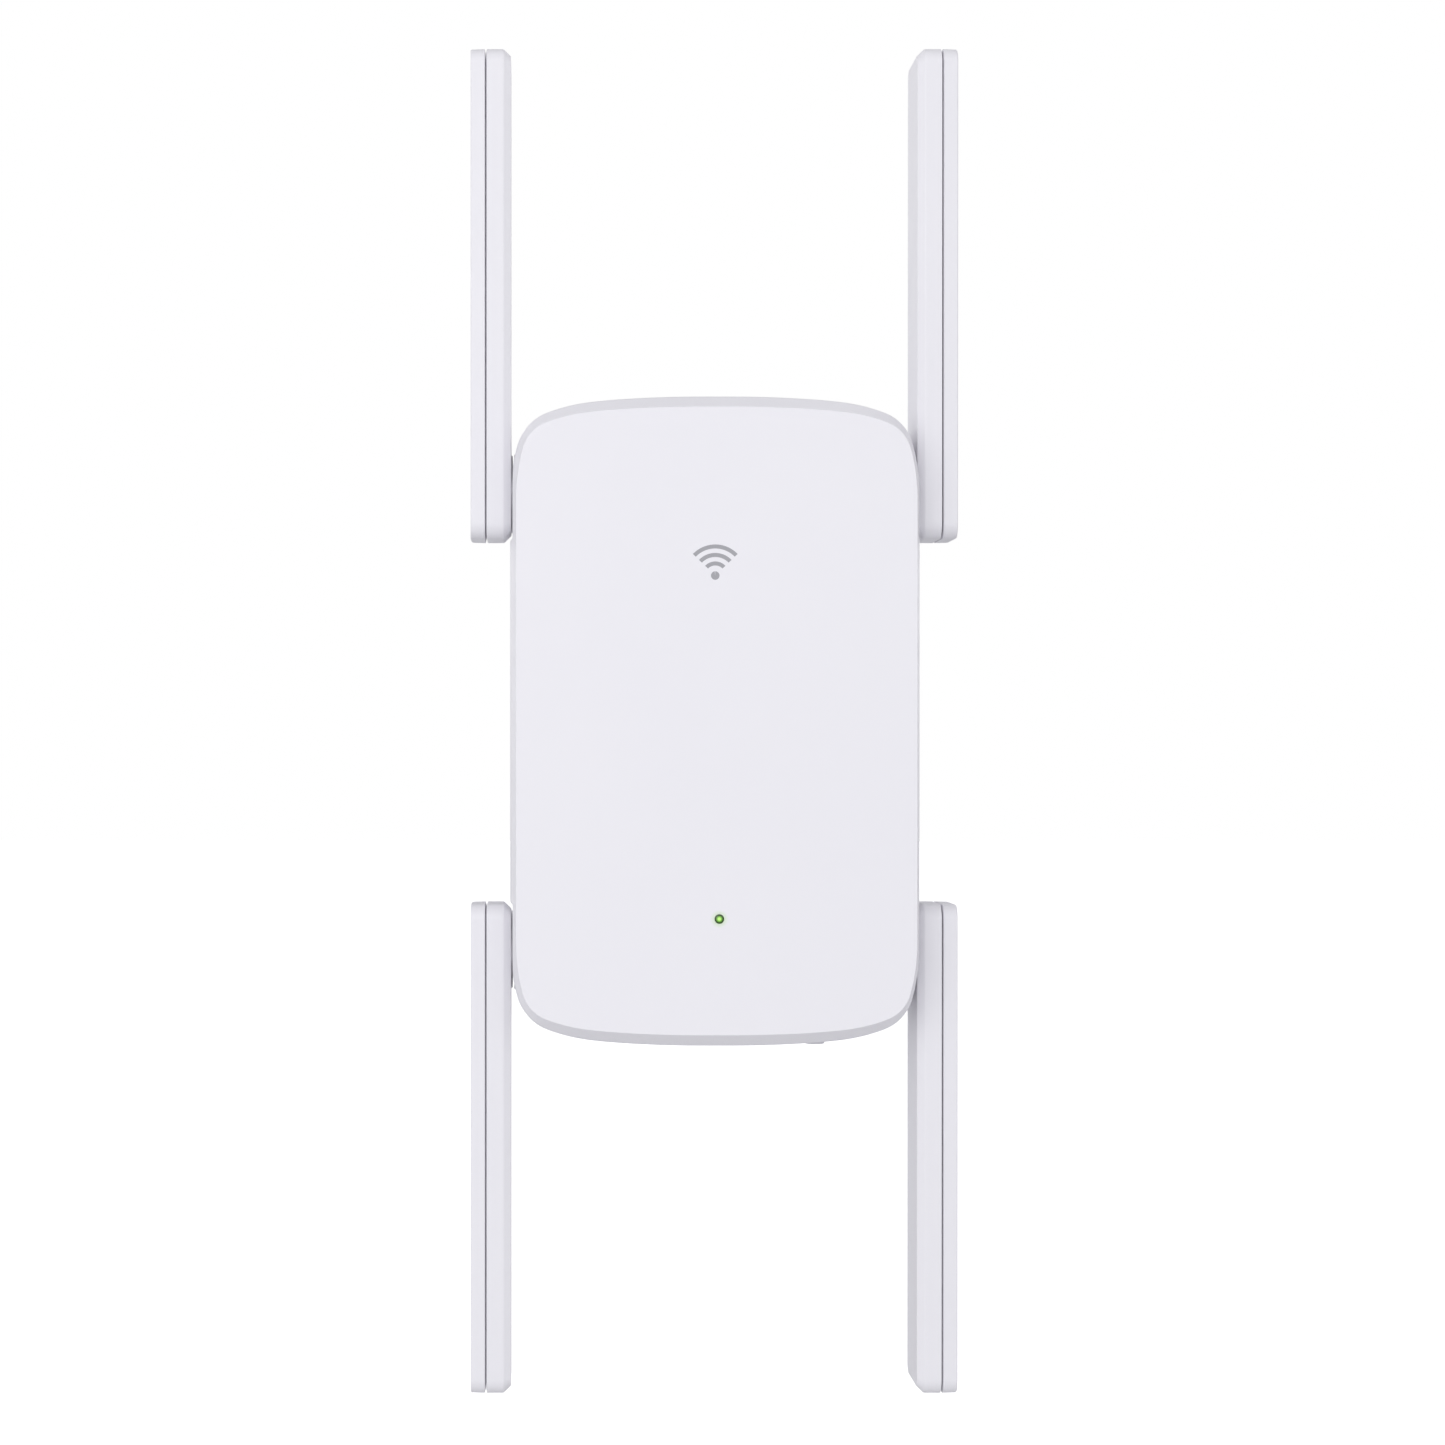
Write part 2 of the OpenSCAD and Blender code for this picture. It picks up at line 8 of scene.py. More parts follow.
import bpy
import numpy as np
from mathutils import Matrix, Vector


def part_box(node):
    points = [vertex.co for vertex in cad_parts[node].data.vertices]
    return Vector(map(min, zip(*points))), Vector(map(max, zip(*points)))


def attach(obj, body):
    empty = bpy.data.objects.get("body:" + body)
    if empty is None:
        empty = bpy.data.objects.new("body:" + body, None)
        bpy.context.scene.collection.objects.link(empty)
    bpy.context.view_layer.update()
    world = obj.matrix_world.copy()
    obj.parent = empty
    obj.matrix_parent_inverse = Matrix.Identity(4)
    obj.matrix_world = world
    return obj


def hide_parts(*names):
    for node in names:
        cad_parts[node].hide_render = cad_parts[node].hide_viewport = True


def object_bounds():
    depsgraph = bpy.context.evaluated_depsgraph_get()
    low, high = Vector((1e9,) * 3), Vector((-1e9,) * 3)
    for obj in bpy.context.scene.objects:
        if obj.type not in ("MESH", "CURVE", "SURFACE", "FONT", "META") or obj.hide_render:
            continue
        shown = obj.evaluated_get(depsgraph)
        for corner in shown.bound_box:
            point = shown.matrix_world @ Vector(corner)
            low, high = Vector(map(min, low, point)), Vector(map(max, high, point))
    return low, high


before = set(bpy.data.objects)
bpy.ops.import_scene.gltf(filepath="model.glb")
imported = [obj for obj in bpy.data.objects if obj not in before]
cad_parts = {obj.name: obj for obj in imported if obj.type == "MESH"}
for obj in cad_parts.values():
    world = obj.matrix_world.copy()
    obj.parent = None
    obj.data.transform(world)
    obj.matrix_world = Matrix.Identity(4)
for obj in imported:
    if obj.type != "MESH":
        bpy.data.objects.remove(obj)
cad_low, cad_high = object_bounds()
MM = 0.001


# ---------------------------------------------------------------------------------------
# Studio. The extender hangs in a white studio: bright in front, dimmer at both sides and
# overhead, with a white strip behind it on the left and on the right that lights its edges.
# One broad soft light stands beside the camera, which has a long lens, shifted a little, and
# stands somewhat left of the middle. A plain pale floor lies below.
cover_low, cover_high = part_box("front_cover")
camera_data = bpy.data.cameras.new("camera")
camera = bpy.data.objects.new("camera", camera_data)
bpy.context.scene.collection.objects.link(camera)
bpy.context.scene.camera = camera
bpy.context.scene.view_settings.view_transform = "Standard"
stand_off = 613.6 * MM
left_of_middle, below_middle = 33.95 * MM, 5.72 * MM
tilt_down = 0.253
camera.location = (-left_of_middle, cover_low[1] - stand_off, -below_middle)
camera.rotation_euler = (math.radians(90 - tilt_down), 0, 0)
camera_data.sensor_width = 36
camera_data.lens = 81.18
camera_data.shift_x = 0.1287
camera_data.shift_y = 0.030
camera_data.clip_start = 0.01
camera_data.clip_end = 100


def hex_colour(code):
    """Linear colour of an sRGB hex code: each channel c becomes c / 12.92 in the darks and
    ((c + 0.055) / 1.055) to the power 2.4 above them."""
    c = np.array([int(code[i:i + 2], 16) for i in (1, 3, 5)]) / 255
    return (*np.where(c <= 0.04045, c / 12.92, ((c + 0.055) / 1.055) ** 2.4), 1.0)


def add_node(tree, kind, inputs=None, **settings):
    """Adds one node. settings are its properties; inputs are socket values, or the sockets
    that feed them."""
    made = tree.nodes.new(kind)
    for name, value in settings.items():
        setattr(made, name, value)
    for socket, value in (inputs or {}).items():
        if isinstance(value, bpy.types.NodeSocket):
            tree.links.new(value, made.inputs[socket])
        else:
            made.inputs[socket].default_value = value
    return made


world = bpy.data.worlds.new("white_studio")
bpy.context.scene.world = world
world.use_nodes = True
sky = world.node_tree
sky.nodes.clear()
direction = add_node(sky, "ShaderNodeTexCoord")
heading = add_node(sky, "ShaderNodeSeparateXYZ", {0: direction.outputs["Generated"]})
# From straight down, over the horizon, to straight up.
floor_to_zenith = add_node(sky, "ShaderNodeMapRange", {0: heading.outputs["Z"], 1: -1.0, 2: 1.0})
# From the front, past either side, round to the back: the angle whose tangent is |X| / -Y.
sideways = add_node(sky, "ShaderNodeMath", {0: heading.outputs["X"]}, operation="ABSOLUTE")
frontward = add_node(sky, "ShaderNodeMath", {0: heading.outputs["Y"], 1: -1.0},
                     operation="MULTIPLY")
turned = add_node(sky, "ShaderNodeMath", {0: sideways.outputs[0], 1: frontward.outputs[0]},
                  operation="ARCTAN2")
half_turns = add_node(sky, "ShaderNodeMath", {0: turned.outputs[0], 1: math.pi}, operation="DIVIDE")
# Along each of the two ways the brightness goes through these levels, each given as (share of
# the way, brightness), in greys that are a touch cool.
touch_cool = 1.012
upward_levels = ((0.0, 0.26), (0.46, 0.60), (0.54, 1.12), (0.66, 1.00), (1.0, 0.36))
around_levels = ((0.0, 1.21), (0.28, 1.15), (0.48, 0.62), (0.74, 0.60), (0.82, 1.7), (0.90, 1.4),
                 (0.97, 0.4))
up = add_node(sky, "ShaderNodeValToRGB", {0: floor_to_zenith.outputs[0]})
around = add_node(sky, "ShaderNodeValToRGB", {0: half_turns.outputs[0]})
for ramp, levels in ((up, upward_levels), (around, around_levels)):
    for _ in levels[2:]:
        ramp.color_ramp.elements.new(0.5)
    for stop, (share, grey) in zip(ramp.color_ramp.elements, levels):
        stop.position = share
        stop.color = (grey, grey, grey * touch_cool, 1)
left_to_right = add_node(sky, "ShaderNodeMapRange", {0: heading.outputs["X"], 1: -1.0, 2: 1.0,
                         3: 1.03, 4: 0.97})
both_ways = add_node(sky, "ShaderNodeMix",
                     {"Factor": 1.0, "A": up.outputs[0], "B": around.outputs[0]},
                     data_type="RGBA", blend_type="MULTIPLY")
lit = add_node(sky, "ShaderNodeBackground", {"Color": both_ways.outputs["Result"],
               "Strength": left_to_right.outputs[0]})
seen = add_node(sky, "ShaderNodeBackground", {"Color": (1, 1, 1, 1), "Strength": 1.0})
ray = add_node(sky, "ShaderNodeLightPath")
both = add_node(sky, "ShaderNodeMixShader", {0: ray.outputs["Is Camera Ray"],
                1: lit.outputs[0], 2: seen.outputs[0]})
add_node(sky, "ShaderNodeOutputWorld", {0: both.outputs[0]})

softbox_data = bpy.data.lights.new("softbox", "AREA")
softbox_data.shape = "RECTANGLE"
softbox_side = 1.1
softbox_data.size, softbox_data.size_y = softbox_side, softbox_side
softbox_data.energy = 4.2
softbox = bpy.data.objects.new("softbox", softbox_data)
softbox.location = (-0.55, -1.25, 0.35)
softbox.rotation_euler = (math.radians(76), 0, math.radians(-24))
bpy.context.scene.collection.objects.link(softbox)

floor_drop = 60 * MM
floor_half = 6.0
floor_mesh = bpy.data.meshes.new("floor")
floor_z = cad_low[2] - floor_drop
floor_corners = [(sx * floor_half, sy * floor_half, floor_z)
                 for sx, sy in ((-1, -1), (1, -1), (1, 1), (-1, 1))]
floor_mesh.from_pydata(floor_corners, [], [(0, 1, 2, 3)])
floor = bpy.data.objects.new("floor", floor_mesh)
bpy.context.scene.collection.objects.link(floor)
paper = bpy.data.materials.new("white_paper_floor")
paper.use_nodes = True
tree = paper.node_tree
tree.nodes.clear()
matt = add_node(tree, "ShaderNodeBsdfDiffuse", {"Color": hex_colour("#E9E9EA")})
glow = add_node(tree, "ShaderNodeEmission", {"Color": (1, 1, 1, 1), "Strength": 0.75})
lifted = add_node(tree, "ShaderNodeAddShader", {0: matt.outputs[0], 1: glow.outputs[0]})
ray = add_node(tree, "ShaderNodeLightPath")
paper_seen = add_node(tree, "ShaderNodeMixShader", {0: ray.outputs["Is Camera Ray"],
                      1: matt.outputs[0], 2: lifted.outputs[0]})
add_node(tree, "ShaderNodeOutputMaterial", {0: paper_seen.outputs[0]})
floor_mesh.materials.append(paper)


# ---------------------------------------------------------------------------------------
# Rear housing. An injection-moulded white ABS tub with drafted walls, air slots in its
# top and rear, a window for the network socket, wells for four screws and a round seat
# for each antenna hinge. It is moulded in one shot and lightly spark-textured.
body_half_w = (cover_high[0] - cover_low[0]) / 2
body_half_h = (cover_high[2] - cover_low[2]) / 2
rear_low, rear_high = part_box("rear_housing")
y_rear = rear_high[1]
y_split = rear_low[1]
y_front = cover_low[1]
wall = 2.0 * MM
draft = 0.8 * MM
rear_round = 2.0 * MM
recess_depth = 0.75 * MM
recess_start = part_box("outer_shell_upper_right")[0][2] - 0.3 * MM
recess_x = body_half_w - recess_depth
washer_low, washer_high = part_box("washer_upper_right")
hinge_y, hinge_z = ((washer_low[i] + washer_high[i]) / 2 for i in (1, 2))

# The outline turns from the middle of the top edge to the straight side: at each of these
# headings, in degrees, it has these radii of curvature in millimetres.
turn_headings = np.array([0.0, 5.8, 21.4, 74.0, 90.0])
turn_radii = np.array([230.0, 35.0, 8.8, 38.0])


def rounded_quadrant(samples=60, blur=1.6):
    """Heading and place of points along a quarter of the housing outline. The radius is a
    step function of the heading, blurred with a bell curve of `blur` degrees so that the
    curvature has no jumps, and the place is the running sum of radius times turn."""
    fine = np.linspace(0, 90, 3601)
    steps = np.log(turn_radii)[np.clip(np.searchsorted(turn_headings, fine, "right") - 1, 0, 3)]
    spread = np.arange(-200, 201) * (fine[1] - fine[0])
    bell = np.exp(-(spread / blur) ** 2 / 2)
    padded = np.pad(steps, 200, mode="edge")
    radius = np.exp(np.convolve(padded, bell / bell.sum(), "valid")) * MM
    a = np.radians(fine)
    turn = a[1] - a[0]
    x = np.concatenate([[0], np.cumsum((radius * np.cos(a))[:-1] * turn)])
    z = -np.concatenate([[0], np.cumsum((radius * np.sin(a))[:-1] * turn)])
    length = np.hypot(x, z)
    evenness = fine / 90 + 1.6 * length / length[-1]
    pick = np.searchsorted(evenness, np.linspace(0, evenness[-1], samples)).clip(0, 3600)
    return a[pick], np.stack([x[pick], z[pick]], 1)


quad_heading, quad_place = rounded_quadrant()
side_steps = np.concatenate([np.linspace(41, 36.5, 5), np.linspace(35.6, 33.0, 11),
                             np.linspace(31, 2, 8)]) * MM


def housing_outline(side, end, pocket_x):
    """Closed outlines in X and Z, set in from the full outline by `side` at the sides and
    `end` at the top and bottom (arrays, one outline each). A parallel curve moves each point
    along its own normal. In the antenna pockets its half width is at most pocket_x, by the soft
    minimum limit - soft * log(1 + exp((limit - x) / soft))."""
    side, end = np.atleast_1d(side).astype(float), np.atleast_1d(end).astype(float)
    inset = ((side + end) / 2)[:, None]
    x = quad_place[:, 0] - inset * np.sin(quad_heading)
    z = quad_place[:, 1] - inset * (np.cos(quad_heading) - 1)
    half_w, half_h = (body_half_w - side)[:, None], (body_half_h - end)[:, None]
    x, z = x - x[:, -1:] + half_w, z + half_h
    straight_z = side_steps[None] * np.minimum(1, z[:, -1:] / (42.0 * MM))
    x = np.concatenate([x, np.repeat(half_w, len(side_steps), 1)], 1)
    z = np.concatenate([z, straight_z], 1)
    x = np.concatenate([x, x[:, ::-1], -x, -x[:, ::-1]], 1)
    z = np.concatenate([z, -z[:, ::-1], -z, z[:, ::-1]], 1)
    ramp = np.clip((np.abs(z) - recess_start + 0.5 * MM) / (0.7 * MM), 0, 1)
    no_limit = body_half_w + 0.3 * MM
    limit = no_limit - (no_limit - pocket_x) * ramp * ramp * (3 - 2 * ramp)
    soft = 0.06 * MM
    kept = limit - soft * np.logaddexp(0, (limit - np.abs(x)) / soft)
    return np.stack([np.sign(x) * kept, z], 2)


def soften(corners, steps=5):
    """Rounds a polyline. Each corner is (point, reach) and becomes a parabola that leaves one
    edge `reach` before the corner and is tangent to the next edge `reach` after it."""
    points = np.array([c[0] for c in corners], float)
    rows = [points[:1]]
    t = np.linspace(0, 1, steps)[:, None]
    for i in range(1, len(points) - 1):
        here, back, on = points[i], points[i - 1] - points[i], points[i + 1] - points[i]
        reach = min(corners[i][1], np.linalg.norm(back) / 2, np.linalg.norm(on) / 2)
        if reach == 0:
            rows.append(here[None])
            continue
        a = here + back / np.linalg.norm(back) * reach
        b = here + on / np.linalg.norm(on) * reach
        rows.append((1 - t) ** 2 * a + 2 * t * (1 - t) * here + t * t * b)
    return np.concatenate(rows + [points[-1:]])


def skin(rings, loop=False):
    """Vertices and faces of a surface through rings (rows, points, 3): quads between
    neighbouring rings. loop joins the last ring to the first; if not, each end ring is
    closed by a flat face."""
    rows, count = rings.shape[:2]
    index = np.arange(rows * count).reshape(rows, count)
    upper = np.roll(index, -1, 0) if loop else index[1:]
    lower = index if loop else index[:-1]
    quads = np.stack([lower, np.roll(lower, -1, 1), np.roll(upper, -1, 1), upper], 2).reshape(-1, 4)
    faces = quads.tolist()
    if not loop:
        faces += [index[0, ::-1].tolist(), index[-1].tolist()]
    return rings.reshape(-1, 3), faces


def faces_outwards(points, polygons):
    """The faces of a closed surface, turned outwards. Its volume is the sum over its triangles
    (a, b, c) of a . (b x c) / 6, and where that is negative every face is turned round."""
    triangles = np.array([(f[0], f[i], f[i + 1]) for f in polygons for i in range(1, len(f) - 1)])
    a, b, c = (points[triangles[:, i]] for i in range(3))
    return polygons if (a * np.cross(b, c)).sum() > 0 else [f[::-1] for f in polygons]


def make_piece(name, surfaces):
    """One object from closed surfaces, its faces turned outwards and its place in its mesh."""
    verts, faces, start = [], [], 0
    for points, polygons in surfaces:
        verts.append(points)
        faces += [[start + i for i in f] for f in faces_outwards(points, polygons)]
        start += len(points)
    mesh = bpy.data.meshes.new(name)
    mesh.from_pydata(np.concatenate(verts).tolist(), [], faces)
    mesh.update()
    piece = bpy.data.objects.new(name, mesh)
    bpy.context.scene.collection.objects.link(piece)
    return piece


def carve(piece, surfaces, operation="DIFFERENCE"):
    """Cuts closed shapes out of a piece, or joins them to it, and keeps the result as its mesh."""
    tool = make_piece("tool", surfaces)
    step = piece.modifiers.new("carve", "BOOLEAN")
    step.object, step.operation, step.solver = tool, operation, "EXACT"
    result = bpy.data.meshes.new_from_object(
        piece.evaluated_get(bpy.context.evaluated_depsgraph_get()))
    piece.modifiers.clear()
    result.name = piece.name
    piece.data = result
    bpy.data.objects.remove(tool)


def prism(outline, axis, start, end):
    """A bar with a flat outline (points, 2) swept along an axis from start to end. The outline's
    two columns go on the other two axes in X, Y, Z order."""
    others = [i for i in range(3) if i != axis]
    rings = np.zeros((2, len(outline), 3))
    rings[:, :, others] = outline
    rings[0, :, axis], rings[1, :, axis] = start, end
    return skin(rings)


def round_rectangle(w, h, r, steps=6, centre=(0, 0)):
    """Points of a rectangle whose corners are quarter circles of radius r."""
    a = np.radians(np.linspace(0, 90, steps))
    arc = r * np.stack([np.cos(a), np.sin(a)], 1)
    corner = np.array([w / 2 - r, h / 2 - r])
    first = corner + arc
    second = np.stack([-first[::-1, 0], first[::-1, 1]], 1)
    return np.concatenate([first, second, -first, -second]) + np.array(centre)


def lathe(profile, axis, centre, count=64):
    """A profile of (distance from the axis, place along the axis) turned about an axis
    through centre."""
    a = np.linspace(0, 2 * np.pi, count, endpoint=False)
    profile = np.asarray(profile, float)
    others = [i for i in range(3) if i != axis]
    rings = np.zeros((len(profile), count, 3))
    rings[:, :, others[0]] = profile[:, :1] * np.cos(a) + centre[0]
    rings[:, :, others[1]] = profile[:, :1] * np.sin(a) + centre[1]
    rings[:, :, axis] = profile[:, 1:]
    return rings


plug_r, plug_flat = 18.0 * MM, 13.0 * MM


def plug_ring(angle, grow):
    """Places round the plug boss: a circle cut by two flats, its corners rounded by the power
    mean of the two distances from the middle."""
    power = -60.0
    to_flat = (plug_flat + grow) / np.maximum(np.abs(np.sin(angle)), 1e-6)
    reach = ((plug_r + grow) ** power + to_flat ** power) ** (1 / power)
    return np.stack([reach * np.cos(angle), reach * np.sin(angle)], -1)


def housing_rings(rows, hole, pocket_x):
    """Rings of a housing shell. Each row is (spread, side, end, y): spread 0 lies on the hole's
    own outline and 1 on the housing outline set in by side and end; between them the ring
    is the straight blend of the two."""
    rows = np.asarray(rows, float)
    outer = housing_outline(rows[:, 1], rows[:, 2], pocket_x)
    spread = rows[:, 0][:, None, None]
    flat = (1 - spread) * hole + spread * outer
    rings = np.zeros((len(rows), outer.shape[1], 3))
    rings[:, :, 0], rings[:, :, 2] = flat[:, :, 0], flat[:, :, 1]
    rings[:, :, 1] = rows[:, 3][:, None]
    return rings


full_outline = housing_outline(0, 0, recess_x)[0]
plug_opening = plug_ring(np.arctan2(full_outline[:, 1], full_outline[:, 0]), 0.1 * MM)
inner_rear = y_rear - wall
edge = draft + rear_round
rim = soften([
    ((0.97, edge, edge, y_rear), 0),
    ((1, edge - 0.9 * MM, edge - 0.9 * MM, y_rear), 0.9 * MM),
    ((1, draft, draft, y_rear - rear_round * 0.9), 1.3 * MM),
    ((1, 0, 0, y_split), 0.15 * MM),
    ((1, wall, wall, y_split), 0.15 * MM),
    ((1, wall + draft, wall + draft, inner_rear), 0.8 * MM),
    ((0.97, wall + edge, wall + edge, inner_rear), 0)], 6)
face_spread = np.linspace(0, 0.93, 9)[:, None]
outside = np.concatenate([face_spread, np.full((9, 2), edge), np.full((9, 1), y_rear)], 1)
inside = np.concatenate([face_spread[::-1], np.full((9, 2), wall + edge),
                         np.full((9, 1), inner_rear)], 1)
rear_housing = make_piece("rear_housing_shell", [skin(housing_rings(
    np.concatenate([outside, rim, inside]), plug_opening, recess_x), loop=True)])

seat_r = 7.8 * MM
seat_in = recess_x - 3.2 * MM
seats = [skin(lathe([(seat_r - 0.3 * MM, s * seat_in), (seat_r, s * (seat_in + 0.2 * MM)),
                     (seat_r, s * (recess_x - 0.2 * MM)), (seat_r - 0.2 * MM, s * recess_x)],
                    0, (hinge_y, z))) for s in (-1, 1) for z in (-hinge_z, hinge_z)]
carve(rear_housing, seats, "UNION")

hinge_bore_r = 5.05 * MM
hinge_bores = [skin(lathe([(hinge_bore_r, s * (recess_x - 5 * MM)),
                           (hinge_bore_r, s * (recess_x + 1 * MM))], 0, (hinge_y, z)))
               for s in (-1, 1) for z in (-hinge_z, hinge_z)]
vent_w = 1.8 * MM
vent_corner = vent_w / 2.02
top_pitch, top_rib_front, top_rib_rear = 5.2 * MM, 6 * MM, 5 * MM
top_slot = (y_split + top_rib_front, y_rear - top_rib_rear)
top_slots = [prism(round_rectangle(vent_w, top_slot[1] - top_slot[0], vent_corner,
                                   centre=(i * top_pitch, (top_slot[0] + top_slot[1]) / 2)), 2,
                   body_half_h - 7 * MM, body_half_h + 2 * MM) for i in range(-4, 5)]
rear_slot_length, rear_pitch, lowest_rear_slot = 36 * MM, 4.4 * MM, 28 * MM
rear_slots = [prism(round_rectangle(rear_slot_length, vent_w, vent_corner,
                                    centre=(0, lowest_rear_slot + rear_pitch * i)), 1,
                    inner_rear - 1 * MM, y_rear + 1 * MM) for i in range(5)]
screw_x, screw_z = 29 * MM, 51 * MM
screw_at = [(sx * screw_x, sz * screw_z) for sx in (-1, 1) for sz in (-1, 1)]
well_r, well_mouth_r = 2.6 * MM, 2.95 * MM
screw_wells = [skin(lathe([(well_r, inner_rear - 1 * MM), (well_r, y_rear - 0.25 * MM),
                           (well_mouth_r, y_rear + 0.1 * MM), (well_mouth_r, y_rear + 1 * MM)],
                          1, centre, 48)) for centre in screw_at]
jack_low, jack_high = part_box("network_jack")
jack_size = [jack_high[i] - jack_low[i] for i in range(3)]
jack_mid = [(jack_low[i] + jack_high[i]) / 2 for i in range(3)]
jack_play = 0.4 * MM
jack_window = prism(round_rectangle(jack_size[0] + jack_play, jack_size[1] + jack_play, 0.5 * MM,
                                    centre=jack_mid[:2]), 2,
                    -body_half_h - 2 * MM, -body_half_h + 7 * MM)
cap_low, cap_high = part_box("button_cap")
button_at = ((cap_low[0] + cap_high[0]) / 2, (cap_low[1] + cap_high[1]) / 2)
button_w, button_d, button_play = 3.9 * MM, 6.0 * MM, 0.6 * MM
button_slot = prism(round_rectangle(button_w + button_play, button_d + button_play, 2.2 * MM,
                                    centre=button_at), 2,
                    -body_half_h - 2 * MM, -body_half_h + 5 * MM)
label_low, label_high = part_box("rating_label")
label_mid = ((label_low[0] + label_high[0]) / 2, (label_low[2] + label_high[2]) / 2)
label_w, label_h, label_corner = 43.4 * MM, 23.4 * MM, 1.5 * MM
bed_play = 0.3 * MM
label_bed = prism(round_rectangle(label_w + 2 * bed_play, label_h + 2 * bed_play,
                                  label_corner + bed_play, centre=label_mid), 1,
                  label_low[1], y_rear + 1 * MM)
carve(rear_housing, hinge_bores + top_slots + rear_slots + screw_wells
      + [jack_window, button_slot, label_bed])

# The boss behind each screw well goes on inside the housing as a tube.
post_end, post_floor = y_split + 0.2 * MM, y_split + 4.0 * MM
post_root = inner_rear + 0.2 * MM
thread_r, post_end_r, post_root_r = 1.45 * MM, 3.2 * MM, 3.4 * MM
post_profile = [(thread_r, post_end), (post_end_r, post_end), (post_root_r, post_root),
                (well_r + 0.02 * MM, post_root), (well_r, post_floor), (thread_r, post_floor)]
screw_posts = make_piece("screw_posts", [skin(lathe(post_profile, 1, centre, 48), loop=True)
                                         for centre in screw_at])


def start_material(name, constants):
    """A new material with its node tree, its shader's constants and its place on the piece."""
    material = bpy.data.materials.new(name)
    material.use_nodes = True
    tree = material.node_tree
    for socket, value in constants.items():
        tree.nodes["Principled BSDF"].inputs[socket].default_value = value
    return material, tree, add_node(tree, "ShaderNodeTexCoord").outputs["Object"]


def feed_shader(tree, colour, roughness, relief):
    """Links the three patterns of a material to its shader."""
    shader = tree.nodes["Principled BSDF"]
    for name, socket in (("Base Color", colour), ("Roughness", roughness), ("Normal", relief)):
        tree.links.new(socket, shader.inputs[name])


def moulded_plastic(name, light, dark, rough, grain_mm, bump_mm):
    """Principled plastic. A broad noise, 45 mm across, drifts between two near colours, one of
    6 mm moves the roughness, and a grain of grain_mm raises a texture bump_mm deep."""
    material, tree, place = start_material(name, {"IOR": 1.54})
    drift = add_node(tree, "ShaderNodeTexNoise",
                     {"Vector": place, "Scale": 1 / 0.045, "Detail": 2.0})
    tint = add_node(tree, "ShaderNodeMix", {"Factor": drift.outputs["Fac"], "A": hex_colour(dark),
                    "B": hex_colour(light)}, data_type="RGBA")
    cloud = add_node(tree, "ShaderNodeTexNoise",
                     {"Vector": place, "Scale": 1 / 0.006, "Detail": 3.0})
    gloss = add_node(tree, "ShaderNodeMapRange", {0: cloud.outputs["Fac"], 1: 0.3, 2: 0.7,
                     3: rough[0], 4: rough[1]})
    grain = add_node(tree, "ShaderNodeTexNoise", {"Vector": place, "Scale": 1 / (grain_mm * MM),
                     "Detail": 2.0, "Roughness": 0.6})
    relief = add_node(tree, "ShaderNodeBump", {"Height": grain.outputs["Fac"], "Strength": 0.5,
                      "Distance": bump_mm * MM})
    feed_shader(tree, tint.outputs["Result"], gloss.outputs[0], relief.outputs[0])
    return material


def dress_piece(piece, material, body, slot_name, *nodes):
    """Gives a piece its material and even shading, fixes it to its body, and hides the CAD
    nodes it stands for."""
    piece.data.materials.clear()
    piece.data.materials.append(material)
    piece.data.polygons.foreach_set("use_smooth", np.ones(len(piece.data.polygons), bool))
    piece.data.set_sharp_from_angle(angle=math.radians(38))
    level = piece.modifiers.new("even_normals", "WEIGHTED_NORMAL")
    level.keep_sharp = True
    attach(piece, body)
    if nodes:
        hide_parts(*nodes)


# White ABS straight from a spark-textured steel mould: a soft satin sheen, a grain of about
# 0.3 mm, drawn slightly coarser than the real 0.2 mm so that it shows.
housing_abs = moulded_plastic("white_abs_spark_textured", "#F0EFF3", "#ECEBF0", (0.42, 0.52), 0.3,
                              0.010)
dress_piece(rear_housing, housing_abs, "housing", "housing_plastic", "rear_housing")
dress_piece(screw_posts, housing_abs, "housing", "housing_plastic")


# ---------------------------------------------------------------------------------------
# Plug. A glossier polycarbonate block welded into the rear wall: a round boss with two
# flats and a groove on each side for the guide ribs of a socket. Two turned brass pins,
# nickel plated, are pressed through it.
plug_angle = np.linspace(0, 2 * np.pi, 288, endpoint=False)
groove_r, groove_at = 2.6 * MM, plug_r + 0.6 * MM


def plug_body_ring(rows):
    """Rings of the plug boss. Each row is (inset, y, grooved). A groove is the near side of a
    circle that sits just outside the boss, where a ray from the middle meets it."""
    rows = np.asarray(rows, float)
    ring = plug_ring(plug_angle, 0)
    reach = np.linalg.norm(ring, axis=1)
    across = groove_at * np.sin(plug_angle)
    half_chord = np.sqrt(np.maximum(groove_r ** 2 - across ** 2, 0))
    cut = groove_at * np.abs(np.cos(plug_angle)) - half_chord
    grooved = np.where(np.abs(across) < groove_r, np.minimum(cut, reach), reach)
    reach = np.where(rows[:, 2:] > 0, grooved, reach) - rows[:, :1]
    return np.stack([reach * np.cos(plug_angle), np.repeat(rows[:, 1:2], len(plug_angle), 1),
                     reach * np.sin(plug_angle)], 2)


